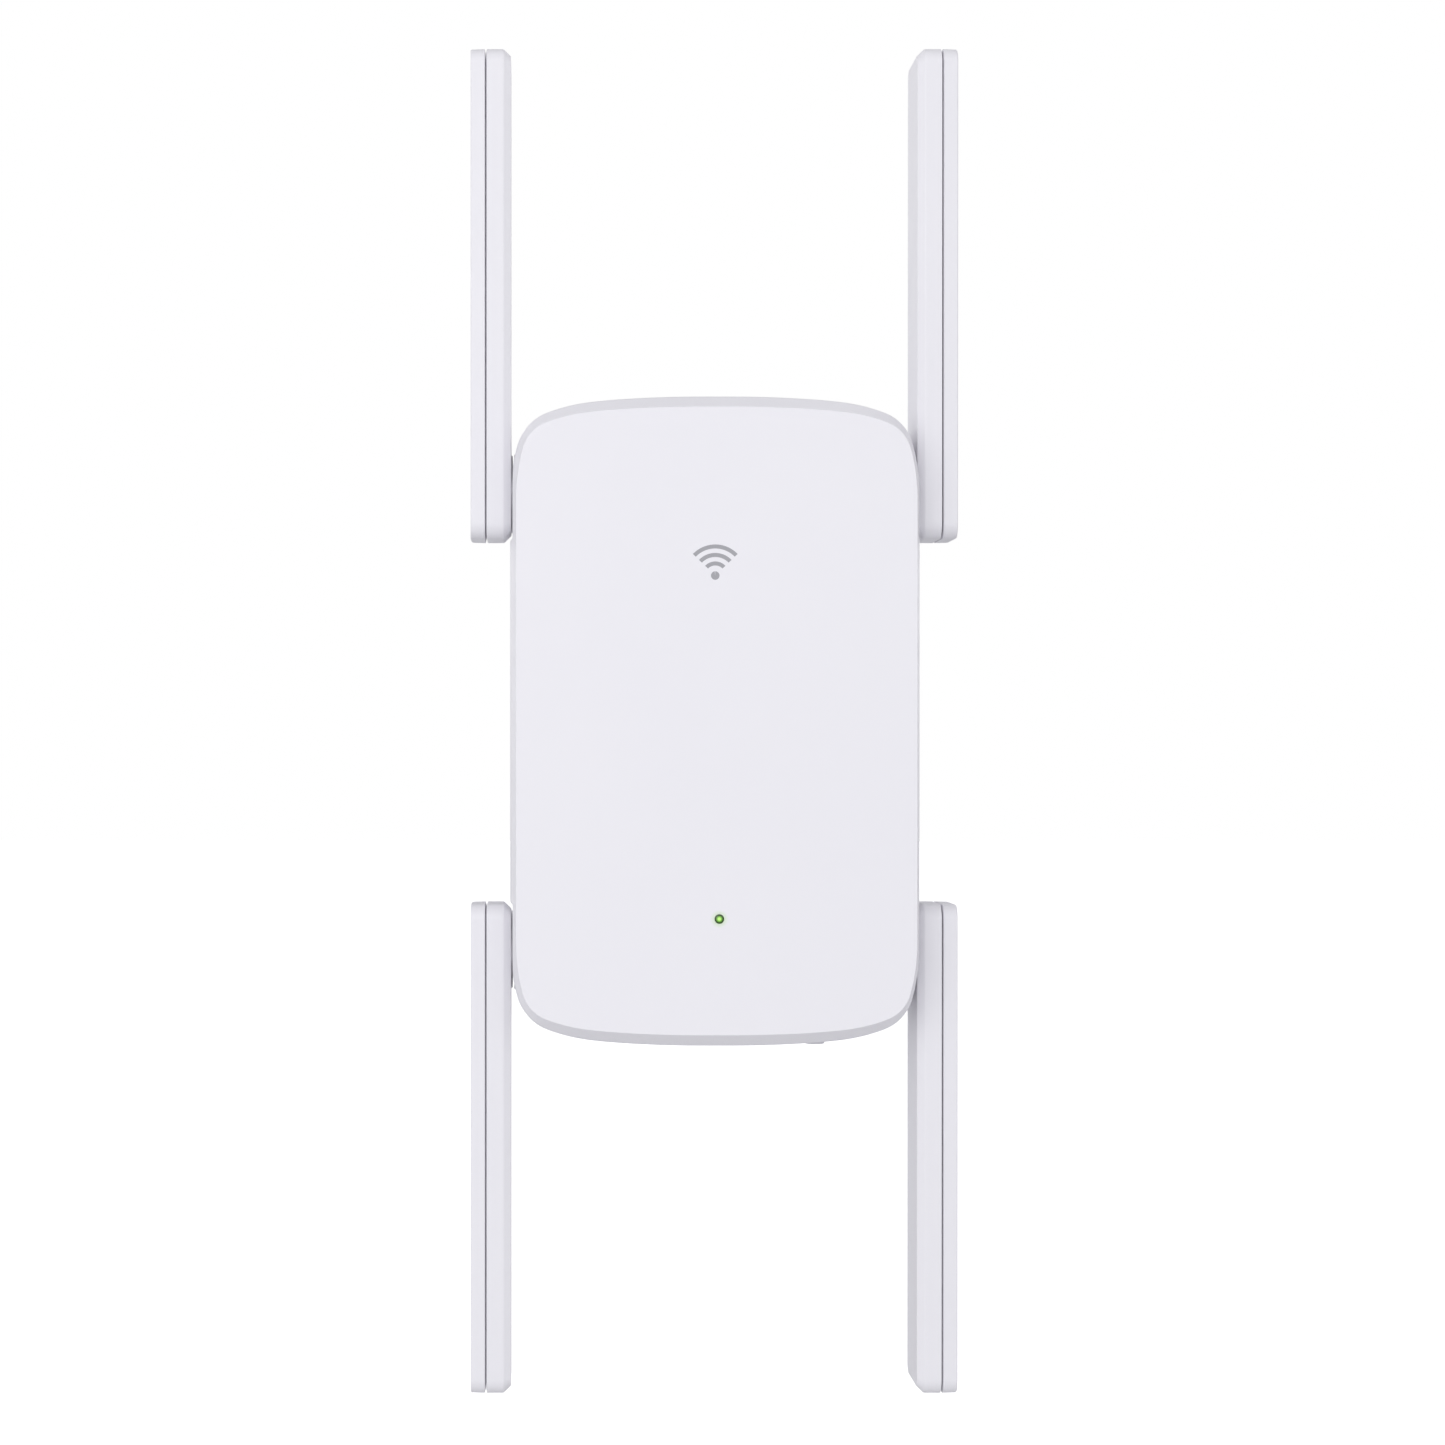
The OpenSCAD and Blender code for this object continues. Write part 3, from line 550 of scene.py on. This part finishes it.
plug_rows = soften([
    ((10.0 * MM, inner_rear - 1.4 * MM, 0), 0), ((-1.4 * MM, inner_rear - 1.4 * MM, 0), 0.1 * MM),
    ((-1.4 * MM, inner_rear - 0.1 * MM, 0), 0.1 * MM), ((0, inner_rear - 0.1 * MM, 0), 0),
    ((0, y_rear + 0.4 * MM, 0), 0), ((0, y_rear + 0.5 * MM, 1), 0),
    ((0, 0, 1), 0.9 * MM), ((3.2 * MM, 0, 1), 0), ((9.0 * MM, 0, 1), 0)], 6)
plug_block = make_piece("plug_block", [skin(plug_body_ring(plug_rows))])
pin_x = 9.5 * MM
pin_r, pin_neck_r = 2.4 * MM, 2.0 * MM
pin_hole_r = pin_neck_r + 0.02 * MM
pin_holes = [skin(lathe([(pin_hole_r, inner_rear - 3 * MM), (pin_hole_r, 1 * MM)],
                        1, (sx * pin_x, 0), 48)) for sx in (-1, 1)]
carve(plug_block, pin_holes)
plug_pc = moulded_plastic("white_polycarbonate_satin", "#F0EFF3", "#EEEDF1", (0.30, 0.34), 0.5,
                          0.003)
dress_piece(plug_block, plug_pc, "housing", "plug_plastic", "plug_insert")

# Turned brass with bright nickel over it: neutral metal, rings from the lathe tool, and a few
# rubbed streaks along the pin. The real rings are about 0.12 mm apart; a wave repeats every
# 2 pi / 20 of its scaled length, so a scale of 500 draws them 0.63 mm apart, where they show.
nickel, tree, place = start_material("nickel_plated_turned_brass", {"Metallic": 1.0})
rings_of_tool = add_node(tree, "ShaderNodeTexWave", {"Vector": place, "Scale": 500.0,
                         "Distortion": 0.6, "Detail": 1.0}, bands_direction="Y")
rub = add_node(tree, "ShaderNodeMapping", {"Vector": place, "Scale": (1, 0.06, 1)})
streak = add_node(tree, "ShaderNodeTexNoise",
                  {"Vector": rub.outputs[0], "Scale": 1 / (0.4 * MM), "Detail": 3.0})
tone = add_node(tree, "ShaderNodeMix", {"Factor": streak.outputs["Fac"], "A": hex_colour("#B9B4AB"),
                "B": hex_colour("#D8D6D2")}, data_type="RGBA")
worn = add_node(tree, "ShaderNodeMapRange",
                {0: streak.outputs["Fac"], 1: 0.3, 2: 0.75, 3: 0.16, 4: 0.34})
relief = add_node(tree, "ShaderNodeBump", {"Height": rings_of_tool.outputs["Fac"], "Strength": 0.15,
                  "Distance": 0.01 * MM})
feed_shader(tree, tone.outputs["Result"], worn.outputs[0], relief.outputs[0])

nose_r = 1.6 * MM
quarter = np.radians(np.linspace(0, 88, 9))
for name, sx in (("plug_pin_left", -1), ("plug_pin_right", 1)):
    pin_low, pin_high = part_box(name)
    shank = [(pin_neck_r - 0.3 * MM, pin_low[1]), (pin_neck_r, pin_low[1] + 0.3 * MM),
             (pin_neck_r, 0), (pin_r - 0.12 * MM, 0), (pin_r, 0.12 * MM), (pin_r, 6 * MM)]
    nose = np.stack([pin_r - nose_r + nose_r * np.cos(quarter),
                     pin_high[1] - nose_r + nose_r * np.sin(quarter)], 1)
    profile = np.concatenate([shank, nose])
    pin = make_piece(name + "_turned", [skin(lathe(profile, 1, (sx * pin_x, 0)))])
    dress_piece(pin, nickel, "housing", "pin_metal", name)


# ---------------------------------------------------------------------------------------
# Rating label. A blank matt silver-grey polyester film, die-cut with round corners and
# stuck in its shallow bed below the plug.
label_rows = soften([((8 * MM, label_low[1]), 0), ((0, label_low[1]), 0),
                     ((0, label_high[1]), 0.05 * MM),
                     ((0.6 * MM, label_high[1]), 0), ((8 * MM, label_high[1]), 0)], 4)
label_rings = np.zeros((len(label_rows), 4 * 8, 3))
for i, (inset, y) in enumerate(label_rows):
    flat = round_rectangle(label_w - 2 * inset, label_h - 2 * inset,
                           max(label_corner - inset, 0.2 * MM), 8, label_mid)
    label_rings[i, :, 0], label_rings[i, :, 2], label_rings[i, :, 1] = flat[:, 0], flat[:, 1], y
label = make_piece("blank_rating_label", [skin(label_rings)])
film = moulded_plastic("matt_polyester_film", "#DCDCDF", "#D2D2D6", (0.5, 0.62), 0.6, 0.004)
dress_piece(label, film, "housing", "label_film", "rating_label")


# ---------------------------------------------------------------------------------------
# Inside the housing. Boards, chips, coils and cans are the CAD solids themselves; each
# gets the finish of the real part, because the air slots let the eye in.
def inner_finish(name, light, dark, rough, speck_mm, metallic=0.0, stretch=(1, 1, 1), bump=0.02):
    """One material for a small inner part: a noise of the given speck size, stretched along
    an axis for drawn or wound parts, drives colour, roughness and a little relief."""
    material, tree, place = start_material(name, {"Metallic": metallic})
    along = add_node(tree, "ShaderNodeMapping", {"Vector": place, "Scale": stretch})
    speck = add_node(tree, "ShaderNodeTexNoise", {"Vector": along.outputs[0],
                     "Scale": 1 / (speck_mm * MM), "Detail": 3.0})
    tone = add_node(tree, "ShaderNodeMix", {"Factor": speck.outputs["Fac"], "A": hex_colour(dark),
                    "B": hex_colour(light)}, data_type="RGBA")
    gloss = add_node(tree, "ShaderNodeMapRange",
                     {0: speck.outputs["Fac"], 3: rough[0], 4: rough[1]})
    relief = add_node(tree, "ShaderNodeBump", {"Height": speck.outputs["Fac"], "Strength": 0.4,
                      "Distance": bump * MM})
    feed_shader(tree, tone.outputs["Result"], gloss.outputs[0], relief.outputs[0])
    return material


def dress_node(material, *names):
    """Gives CAD nodes their finish."""
    for name in names:
        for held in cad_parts[name].material_slots:
            held.material = material


# Green solder mask over a glass-epoxy laminate: glossy, with the weave just showing.
solder_mask = inner_finish("green_solder_mask_on_glass_epoxy", "#2C7F49", "#17552F", (0.25, 0.4),
                           0.7)
dress_node(solder_mask, "main_board", "element_upper_left", "element_upper_right",
           "element_lower_left", "element_lower_right")
# Single-sided paper-phenolic laminate, punched: tan and fibrous.
dress_node(inner_finish("tan_paper_phenolic_board", "#C9A86C", "#A98449", (0.5, 0.7), 0.8),
           "power_board")
# Moulded epoxy packages: near-black, matt, faintly speckled by the mould.
dress_node(inner_finish("black_epoxy_package", "#2E2F33", "#1E1F22", (0.45, 0.65), 0.2),
           "wifi_processor", "radio_chip", "memory_chip", "bridge_rectifier", "tact_switch",
           "dc_header")
# Tin-plated steel pressed into a lid: pale grey metal with a rolled grain.
dress_node(inner_finish("tin_plated_steel_sheet", "#D2D3D5", "#B4B6B9", (0.28, 0.42), 0.5, 1.0,
                        (1, 1, 0.1)),
           "shield_can_large", "shield_can_small")
dress_node(inner_finish("rolled_aluminium_sheet", "#C9CBCD", "#AEB1B4", (0.3, 0.5), 0.4, 1.0,
                        (0.08, 1, 1)),
           "heat_spreader")
dress_node(inner_finish("grey_blue_silicone_pad", "#93A7B9", "#7F94A8", (0.6, 0.8), 0.4),
           "thermal_pad")
dress_node(inner_finish("clear_epoxy_lens", "#DDF3B0", "#C9EA90", (0.08, 0.16), 0.5), "status_led")
dress_node(inner_finish("natural_nylon_stem", "#C2BDB1", "#AEA99C", (0.4, 0.55), 0.4),
           "switch_plunger")
dress_node(inner_finish("gold_plated_bronze", "#E3C06A", "#C79F45", (0.2, 0.32), 0.3, 1.0,
                        (1, 0.2, 1)),
           "jack_contacts", "coax_sockets")
dress_node(inner_finish("spring_brass_strip", "#D4AE5C", "#B38C3C", (0.25, 0.4), 0.4, 1.0,
                        (1, 1, 0.1)),
           "pin_contacts")
dress_node(inner_finish("ferrite_and_yellow_tape", "#4B4740", "#35322D", (0.4, 0.6), 0.8, 0.0,
                        (1, 0.2, 1)),
           "transformer")
dress_node(inner_finish("shrunk_pvc_sleeve_blue", "#3C5F96", "#274774", (0.25, 0.4), 1.5),
           "bulk_capacitors")
dress_node(inner_finish("shrunk_pvc_sleeve_black", "#4A4F57", "#33373D", (0.25, 0.4), 1.5),
           "output_capacitors")
dress_node(inner_finish("enamelled_copper_winding", "#8E5230", "#5E321B", (0.2, 0.35), 0.4, 0.6,
                        (1, 0.15, 1), 0.1),
           "line_choke")
dress_node(inner_finish("glazed_fuse_ceramic", "#E0D8C4", "#CFC5AD", (0.25, 0.4), 0.6), "fuse")
dress_node(inner_finish("polyester_insulating_film", "#EEEAD2", "#E2DDC0", (0.3, 0.5), 1.0),
           "insulating_sheet")
dress_node(inner_finish("black_fluoropolymer_jacket", "#4A4C51", "#38393E", (0.35, 0.5), 0.3),
           "coax_upper_left", "coax_upper_right", "coax_lower_left", "coax_lower_right")
dress_node(inner_finish("natural_acetal_washer", "#E1DCCF", "#D2CCBD", (0.3, 0.45), 0.5),
           "washer_upper_left", "washer_upper_right", "washer_lower_left", "washer_lower_right")
dress_node(inner_finish("blued_spring_steel", "#9A9CA0", "#808388", (0.25, 0.4), 0.3, 1.0),
           "clip_upper_left", "clip_upper_right", "clip_lower_left", "clip_lower_right")
# Zinc-plated steel screws: bluish bright metal, a little uneven from the plating barrel.
dress_node(inner_finish("zinc_plated_screw_steel", "#C4C6C9", "#9FA2A6", (0.22, 0.4), 0.25, 1.0),
           "housing_screws", "board_screws")


# ---------------------------------------------------------------------------------------
# Network socket. A black PBT block with a stepped cavity for an 8-way plug, moulded in one
# piece and soldered under the main board; its mouth shows in the window of the housing.
jack_edge = soften([((5 * MM, jack_low[2]), 0), ((0, jack_low[2]), 0.25 * MM),
                    ((0, jack_high[2]), 0.25 * MM), ((5 * MM, jack_high[2]), 0)], 5)
jack_rings = np.zeros((len(jack_edge), 24, 3))
for i, (inset, z) in enumerate(jack_edge):
    flat = round_rectangle(jack_size[0] - 2 * inset, jack_size[1] - 2 * inset,
                           0.3 * MM, 6, jack_mid[:2])
    jack_rings[i, :, :2], jack_rings[i, :, 2] = flat, z
jack = make_piece("network_socket", [skin(jack_rings)])
# The three steps of the cavity, one behind the other: width, where each starts and ends behind
# the front of the socket, and depth, in millimetres.
for cut_w, start, end, depth in ((11.8, 1.4, 8.3, 14.0), (6.2, 8.0, 10.0, 14.0),
                                 (3.4, 9.7, 11.4, 10.0)):
    slot_outline = round_rectangle(cut_w * MM, (end - start) * MM, 0.25 * MM, 5,
                                   (jack_mid[0], jack_low[1] + (start + end) / 2 * MM))
    carve(jack, [prism(slot_outline, 2, jack_low[2] - 1 * MM, jack_low[2] + depth * MM)])
pbt = moulded_plastic("black_moulded_pbt", "#303236", "#242528", (0.35, 0.5), 0.3, 0.012)
dress_piece(jack, pbt, "housing", "jack_plastic", "network_jack")


# ---------------------------------------------------------------------------------------
# Light pipe. A clear polycarbonate pin that carries the status light to the front face. It
# glows yellow-green in the middle and falls off to a dark green rim in its hole; the dark
# rim is partly the pipe's own edge and partly painted shade of the gap round it.
led_low, led_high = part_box("light_pipe")
led_at = ((led_low[0] + led_high[0]) / 2, (led_low[2] + led_high[2]) / 2)
pipe_r, collar_r = 0.85 * MM, 1.6 * MM
pipe_front = y_front + 0.12 * MM
dome = np.linspace(0.06, 1, 7)
pipe_profile = np.concatenate([
    np.stack([pipe_r * dome * 0.93, pipe_front + 0.06 * MM * dome ** 2], 1),
    [(pipe_r, pipe_front + 0.14 * MM), (pipe_r, y_front + 1.9 * MM),
     (collar_r, y_front + 1.92 * MM), (collar_r, y_front + 3.3 * MM),
     (pipe_r, y_front + 3.3 * MM), (pipe_r, led_high[1])]])
pipe = make_piece("light_pipe_lit", [skin(lathe(pipe_profile, 1, led_at, 48))])


def away_from_light(tree, place):
    """Distance from the axis of the light pipe: the root of the sum of the squares of X and Z,
    counted from the middle of the light."""
    centred = add_node(tree, "ShaderNodeVectorMath", {0: place, 1: (led_at[0], 0, led_at[1])},
                       operation="SUBTRACT")
    flattened = add_node(tree, "ShaderNodeVectorMath", {0: centred.outputs[0], 1: (1, 0, 1)},
                         operation="MULTIPLY")
    return add_node(tree, "ShaderNodeVectorMath", {0: flattened.outputs[0]},
                    operation="LENGTH").outputs["Value"]


# Clear polycarbonate polished in the mould, lit from behind by its light: bright in the middle.
lit_pc, tree, place = start_material("clear_polycarbonate_lit_green_painted_rim_shade",
                                     {"Roughness": 0.18, "IOR": 1.58, "Emission Strength": 0.5})
shader = tree.nodes["Principled BSDF"]
spot = add_node(tree, "ShaderNodeMapRange", {0: away_from_light(tree, place), 1: 0.22 * MM,
                2: 0.66 * MM, 3: 0.0, 4: 1.0})
# Painted shade: colour and glow darken to a dark green at the rim, partly for the shadow of the gap
# round the pipe in its hole.
glow_with_painted_rim_shade = add_node(tree, "ShaderNodeValToRGB", {0: spot.outputs[0]})
glow_with_painted_rim_shade.color_ramp.elements[0].color = hex_colour("#A9DB6C")
glow_with_painted_rim_shade.color_ramp.elements[1].color = hex_colour("#24400C")
middle = glow_with_painted_rim_shade.color_ramp.elements.new(0.5)
middle.color = hex_colour("#5F9A2C")
tree.links.new(glow_with_painted_rim_shade.outputs[0], shader.inputs["Base Color"])
tree.links.new(glow_with_painted_rim_shade.outputs[0], shader.inputs["Emission Color"])
dress_piece(pipe, lit_pc, "housing", "light_pipe_clear", "light_pipe")


# ---------------------------------------------------------------------------------------
# Front cover. A shallow white ABS dish with a gently crowned face, a bevel all round it and
# a 1.8 mm hole for the status light. It is moulded like the housing, with a finer texture,
# and slides into the housing rim with side tongues.
bevel_side, bevel_end, bevel_d = 1.2 * MM, 2.3 * MM, 3.5 * MM
cover_taper = 0.4 * MM
crown = 0.28 * MM
y_wide = y_front + bevel_d
inner_face = y_front + 1.8 * MM
hole_r = 0.9 * MM


def face_crown(x, z):
    """How far the face falls back from its middle: it grows with the square of the distance
    across and up, each as a share of the half size."""
    return crown * ((x / body_half_w) ** 2 + (z / body_half_h) ** 2) / 2


ray_out = full_outline - np.array(led_at)
ray_out /= np.linalg.norm(ray_out, axis=1)[:, None]
led_hole = np.array(led_at) + hole_r * ray_out
face_rows = np.concatenate([np.array([[0.0, 0.0012, 0.004, 0.012]]).T,
                            np.linspace(0.03, 0.985, 22)[:, None]])
face_rows = np.concatenate([face_rows,
                            np.tile([bevel_side, bevel_end, y_front], (len(face_rows), 1))], 1)
face_rows[0, 3] = y_front + 0.05 * MM
rim_rows = soften([
    ((0.992, bevel_side, bevel_end, y_front), 0),
    ((1, bevel_side, bevel_end, y_front), 0.28 * MM),
    ((1, cover_taper, 0, y_wide), 0.6 * MM),
    ((1, 0, 0, y_split), 0.12 * MM),
    ((1, wall, wall, y_split), 0.15 * MM),
    ((1, wall, wall, y_wide + 1 * MM), 0),
    ((1, bevel_side + wall, bevel_end + wall, inner_face), 0)], 7)
back_rows = np.linspace(0.96, 0, 8)[:, None]
back_rows = np.concatenate([back_rows,
                            np.tile([bevel_side + wall, bevel_end + wall, inner_face], (8, 1))], 1)
cover_rows = np.concatenate([face_rows, rim_rows, back_rows])
cover_rings = housing_rings(cover_rows, led_hole, body_half_w - cover_taper - 0.1 * MM)
crown_share = np.clip((y_wide - cover_rows[:, 3]) / bevel_d, 0, 1)
crown_share[len(face_rows) + len(rim_rows) - 8:] = 0
cover_rings[:, :, 1] += crown_share[:, None] * face_crown(cover_rings[:, :, 0],
                                                          cover_rings[:, :, 2])
cover = make_piece("front_cover_shell", [skin(cover_rings, loop=True)])
cover_abs = moulded_plastic("white_abs_fine_texture", "#F1F0F4", "#EEEDF2", (0.40, 0.48), 0.26,
                            0.008)

# The light shines a little through the white wall round its hole: painted light, a pale green glow
# mixed into the base colour near the hole.
tree = cover_abs.node_tree
shader = tree.nodes["Principled BSDF"]
place = add_node(tree, "ShaderNodeTexCoord").outputs["Object"]
painted_glow_mask = add_node(tree, "ShaderNodeMapRange", {0: away_from_light(tree, place), 1: 0.8 * MM,
                2: 1.9 * MM, 3: 0.42, 4: 0.0}, interpolation_type="SMOOTHSTEP")
plain = shader.inputs["Base Color"].links[0].from_socket
painted_glow_colour = add_node(tree, "ShaderNodeMix", {"Factor": painted_glow_mask.outputs[0], "A": plain,
                   "B": hex_colour("#BFE69A")}, data_type="RGBA")
tree.links.new(painted_glow_colour.outputs["Result"], shader.inputs["Base Color"])
dress_piece(cover, cover_abs, "housing", "cover_plastic", "front_cover")

# Plain pad-printed mark: three signal arcs over a dot, in grey ink 10 micrometres thick.
mark_at = (-0.3 * MM, 27.4 * MM)
ink_lift = 0.012 * MM


def ink_band(inner, outer, start, end, steps=40):
    """A thin ring sector of ink: angle by radius, laid on the crowned face."""
    a = np.radians(np.linspace(start, end, steps))
    r = np.array([outer, inner, inner, outer])
    lift = np.array([ink_lift, ink_lift, -ink_lift, -ink_lift])
    x = mark_at[0] + np.sin(a)[:, None] * r
    z = mark_at[1] + np.cos(a)[:, None] * r
    y = y_front + face_crown(x, z) - lift
    return skin(np.stack([x, y, z], 2))


arc_w, arc_reach, dot_r = 0.75 * MM, 46, 0.8 * MM
mark_parts = [ink_band(r * MM, r * MM + arc_w, -arc_reach, arc_reach) for r in (1.9, 3.5, 5.1)]
mark_parts.append(ink_band(0.02 * MM, dot_r, 0, 352))
mark = make_piece("signal_mark", mark_parts)
ink = moulded_plastic("grey_pad_print_ink", "#A9A9AE", "#9E9EA3", (0.4, 0.5), 0.2, 0.003)
dress_piece(mark, ink, "housing", "cover_plastic")


# ---------------------------------------------------------------------------------------
# Pairing button. An ABS cap that pokes out of the bottom wall and presses the switch behind it;
# a flange inside keeps it from falling out. Its light grey, darker than the housing, is
# painted shade for the shadow it sits in under the housing.
flange, flange_h, cap_corner, cap_fill = 1.2 * MM, 1.0 * MM, 1.9 * MM, 1.7 * MM
flange_low = cap_high[2] - flange_h
cap_rows = soften([
    ((cap_fill, cap_low[2]), 0), ((0, cap_low[2]), 0.45 * MM), ((0, flange_low), 0),
    ((-flange, flange_low), 0), ((-flange, cap_high[2]), 0), ((cap_fill, cap_high[2]), 0)], 6)
cap_rings = np.zeros((len(cap_rows), 40, 3))
for i, (inset, z) in enumerate(cap_rows):
    corner = max(cap_corner - inset, 0.15 * MM) if inset >= 0 else 1.0 * MM
    flat = round_rectangle(button_w - 2 * inset, button_d + min(-2 * inset, flange), corner, 10,
                           button_at)
    cap_rings[i, :, :2], cap_rings[i, :, 2] = flat, z
cap = make_piece("button_cap_moulded", [skin(cap_rings)])
# Painted shade: the cap is coloured a light grey, darker than the white housing, for the shadow it
# sits in.
cap_abs_painted_shade = moulded_plastic("abs_button_painted_shade_grey", "#E3E2E7", "#DBDAE0", (0.34, 0.44), 0.3, 0.006)
dress_piece(cap, cap_abs_painted_shade, "button", "button_plastic", "button_cap")


# ---------------------------------------------------------------------------------------
# Antennas. Each is a paddle of two white ABS trays snapped together, with a fine groove
# where they meet. The tray next to the housing has a bevelled face, a round hinge seat and
# the hollow spigot that turns in the housing wall.
blade_w, blade_bevel, blade_edge = 18.0 * MM, 1.4 * MM, 0.8 * MM
shell_low, shell_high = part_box("outer_shell_upper_right")
blade_bottom, blade_top = shell_low[2], shell_high[2]
blade_mid = ((shell_low[1] + shell_high[1]) / 2, (blade_bottom + blade_top) / 2)
blade_h = blade_top - blade_bottom
blade_in = recess_x + 0.6 * MM
blade_out = shell_high[0]
seam_x = blade_in + 4.8 * MM
spigot_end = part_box("inner_shell_upper_right")[0][0]
blade_corner, blade_steps = 3.0 * MM, 9


def blade_outline(edge, end):
    """Outlines of the paddle in Y and Z, about its middle, each set in by `edge` along its long
    edges and by `end` at its ends. Extra points on the straights keep the faces well shaped."""
    rows = [round_rectangle(blade_w - 2 * e, blade_h - 2 * t,
                            max(blade_corner - 0.8 * t, 0.4 * MM), blade_steps)
            for e, t in zip(edge, end)]
    flat = np.stack(rows)
    ahead = np.roll(flat, -1, 1)
    gaps = np.linalg.norm(ahead[0] - flat[0], axis=1) > 8 * MM
    out = []
    for i in range(flat.shape[1]):
        out.append(flat[:, i:i + 1])
        if gaps[i]:
            share = np.linspace(0, 1, 14)[1:-1][None, :, None]
            out.append(flat[:, i:i + 1] * (1 - share) + ahead[:, i:i + 1] * share)
    return np.concatenate(out, 1)


def blade_rings(rows, centre):
    """Rings of an antenna shell. Each row is (spread, radius, edge, end, x): spread 0 is a circle
    of that radius about `centre`, 1 the paddle outline set in, and between them a blend."""
    rows = np.asarray(rows, float)
    outer = blade_outline(rows[:, 2], rows[:, 3])
    away = blade_outline(np.zeros(1), np.zeros(1))[0] - np.array(centre)
    away /= np.linalg.norm(away, axis=1)[:, None]
    spread = rows[:, 0][:, None, None]
    flat = (1 - spread) * (np.array(centre) + rows[:, 1][:, None, None] * away) + spread * outer
    rings = np.zeros((len(rows), outer.shape[1], 3))
    rings[:, :, 0] = rows[:, 4][:, None]
    rings[:, :, 1] = flat[:, :, 0] + blade_mid[0]
    rings[:, :, 2] = flat[:, :, 1] + blade_mid[1]
    return rings


def run(start, end, count):
    """Rows between two rows, both left out."""
    share = np.linspace(0, 1, count + 2)[1:-1, None]
    return np.array(start) * (1 - share) + np.array(end) * share


spigot_r, bore_r, hinge_seat_r = 5.0 * MM, 1.8 * MM, 7.5 * MM
seat_x = recess_x + 0.3 * MM
seam_edge, seam_depth = 0.21 * MM, 0.75 * MM
hub = (hinge_y - blade_mid[0], hinge_z - blade_mid[1])
floor_x = blade_in + 1.5 * MM
face_in = (blade_edge, blade_bevel)
floor_ring = (bore_r, 1.8 * MM, 1.8 * MM, floor_x)
neck = soften([
    ((0, bore_r, *face_in, spigot_end), 0), ((0, spigot_r, *face_in, spigot_end), 0.3 * MM),
    ((0, spigot_r, *face_in, seat_x), 0), ((0, hinge_seat_r, *face_in, seat_x), 0.2 * MM),
    ((0, hinge_seat_r, *face_in, blade_in), 0)], 5)
blade_face = np.concatenate([
    [(0.004, hinge_seat_r, *face_in, blade_in)],
    run((0, hinge_seat_r, *face_in, blade_in), (1, hinge_seat_r, *face_in, blade_in), 9),
    [(0.985, hinge_seat_r, *face_in, blade_in)]])
blade_side = soften([
    ((0.997, hinge_seat_r, *face_in, blade_in), 0), ((1, 0, *face_in, blade_in), 0.15 * MM),
    ((1, 0, 0, 0, blade_in + blade_bevel), 0.25 * MM),
    ((1, 0, 0, 0, seam_x - seam_edge), 0.04 * MM),
    ((1, 0, seam_depth, seam_depth, seam_x - 0.06 * MM), 0.03 * MM),
    ((1, 0, 1.5 * MM, 1.5 * MM, seam_x - 0.06 * MM), 0),
    ((1, 0, 1.7 * MM, 1.7 * MM, floor_x), 0.2 * MM), ((0.9, *floor_ring), 0)], 6)
blade_floor = run((0.9, *floor_ring), (0, *floor_ring), 4)
inner_rows = np.concatenate([neck, blade_face, blade_side, blade_floor, [(0, *floor_ring)]])
inner_rings = blade_rings(inner_rows, hub)

# The outer tray: its face starts from a small round in the middle, and it is hollow behind.
pad, lip_x, hollow_x = 1.0 * MM, seam_x - 0.8 * MM, blade_out - 1.4 * MM
face_ring, hollow_ring = (pad, 0.4 * MM, 0.4 * MM, blade_out), (pad, 2.4 * MM, 2.4 * MM, hollow_x)
outer_side = soften([
    ((0.99, *face_ring), 0), ((1, 0, 0.32 * MM, 0.25 * MM, blade_out), 0.15 * MM),
    ((1, 0, 0.14 * MM, 0.06 * MM, blade_out - 0.25 * MM), 0.15 * MM),
    ((1, 0, 0, 0, seam_x + seam_edge), 0.04 * MM),
    ((1, 0, seam_depth, seam_depth, seam_x + 0.06 * MM), 0.03 * MM),
    ((1, 0, 1.75 * MM, 1.75 * MM, seam_x + 0.06 * MM), 0),
    ((1, 0, 1.75 * MM, 1.75 * MM, lip_x), 0.1 * MM), ((1, 0, 2.3 * MM, 2.3 * MM, lip_x), 0.1 * MM),
    ((1, 0, *hollow_ring[1:]), 0), ((0.9, *hollow_ring), 0)], 6)
outer_rows = np.concatenate([run((0, *face_ring), (1, *face_ring), 9), outer_side,
                             run((1, *hollow_ring), (0, *hollow_ring), 7)])
outer_rings = blade_rings(outer_rows, (0.0, 0.0))
face_part = outer_rings[:, :, 0] > blade_out - 0.24 * MM
# The face is crowned: it falls back with the square of the distance from its middle line.
bulge = 0.12 * MM * ((outer_rings[:, :, 1] - blade_mid[0]) / (blade_w / 2)) ** 2
outer_rings[:, :, 0] -= np.where(face_part, bulge, 0)

antenna_abs = moulded_plastic("white_abs_antenna_satin", "#EFEEF2", "#EBEAEF", (0.36, 0.46), 0.28,
                              0.008)
for corner in ("upper_left", "upper_right", "lower_left", "lower_right"):
    side_sign = -1 if corner.endswith("left") else 1
    end_sign = 1 if corner.startswith("upper") else -1
    flip = np.array([side_sign, 1, end_sign])
    inner = make_piece("antenna_inner_tray_" + corner, [skin(inner_rings * flip, loop=True)])
    dress_piece(inner, antenna_abs, "antenna_" + corner, "antenna_plastic", "inner_shell_" + corner)
    outer = make_piece("antenna_outer_tray_" + corner, [skin(outer_rings * flip)])
    dress_piece(outer, antenna_abs, "antenna_" + corner, "antenna_plastic", "outer_shell_" + corner)
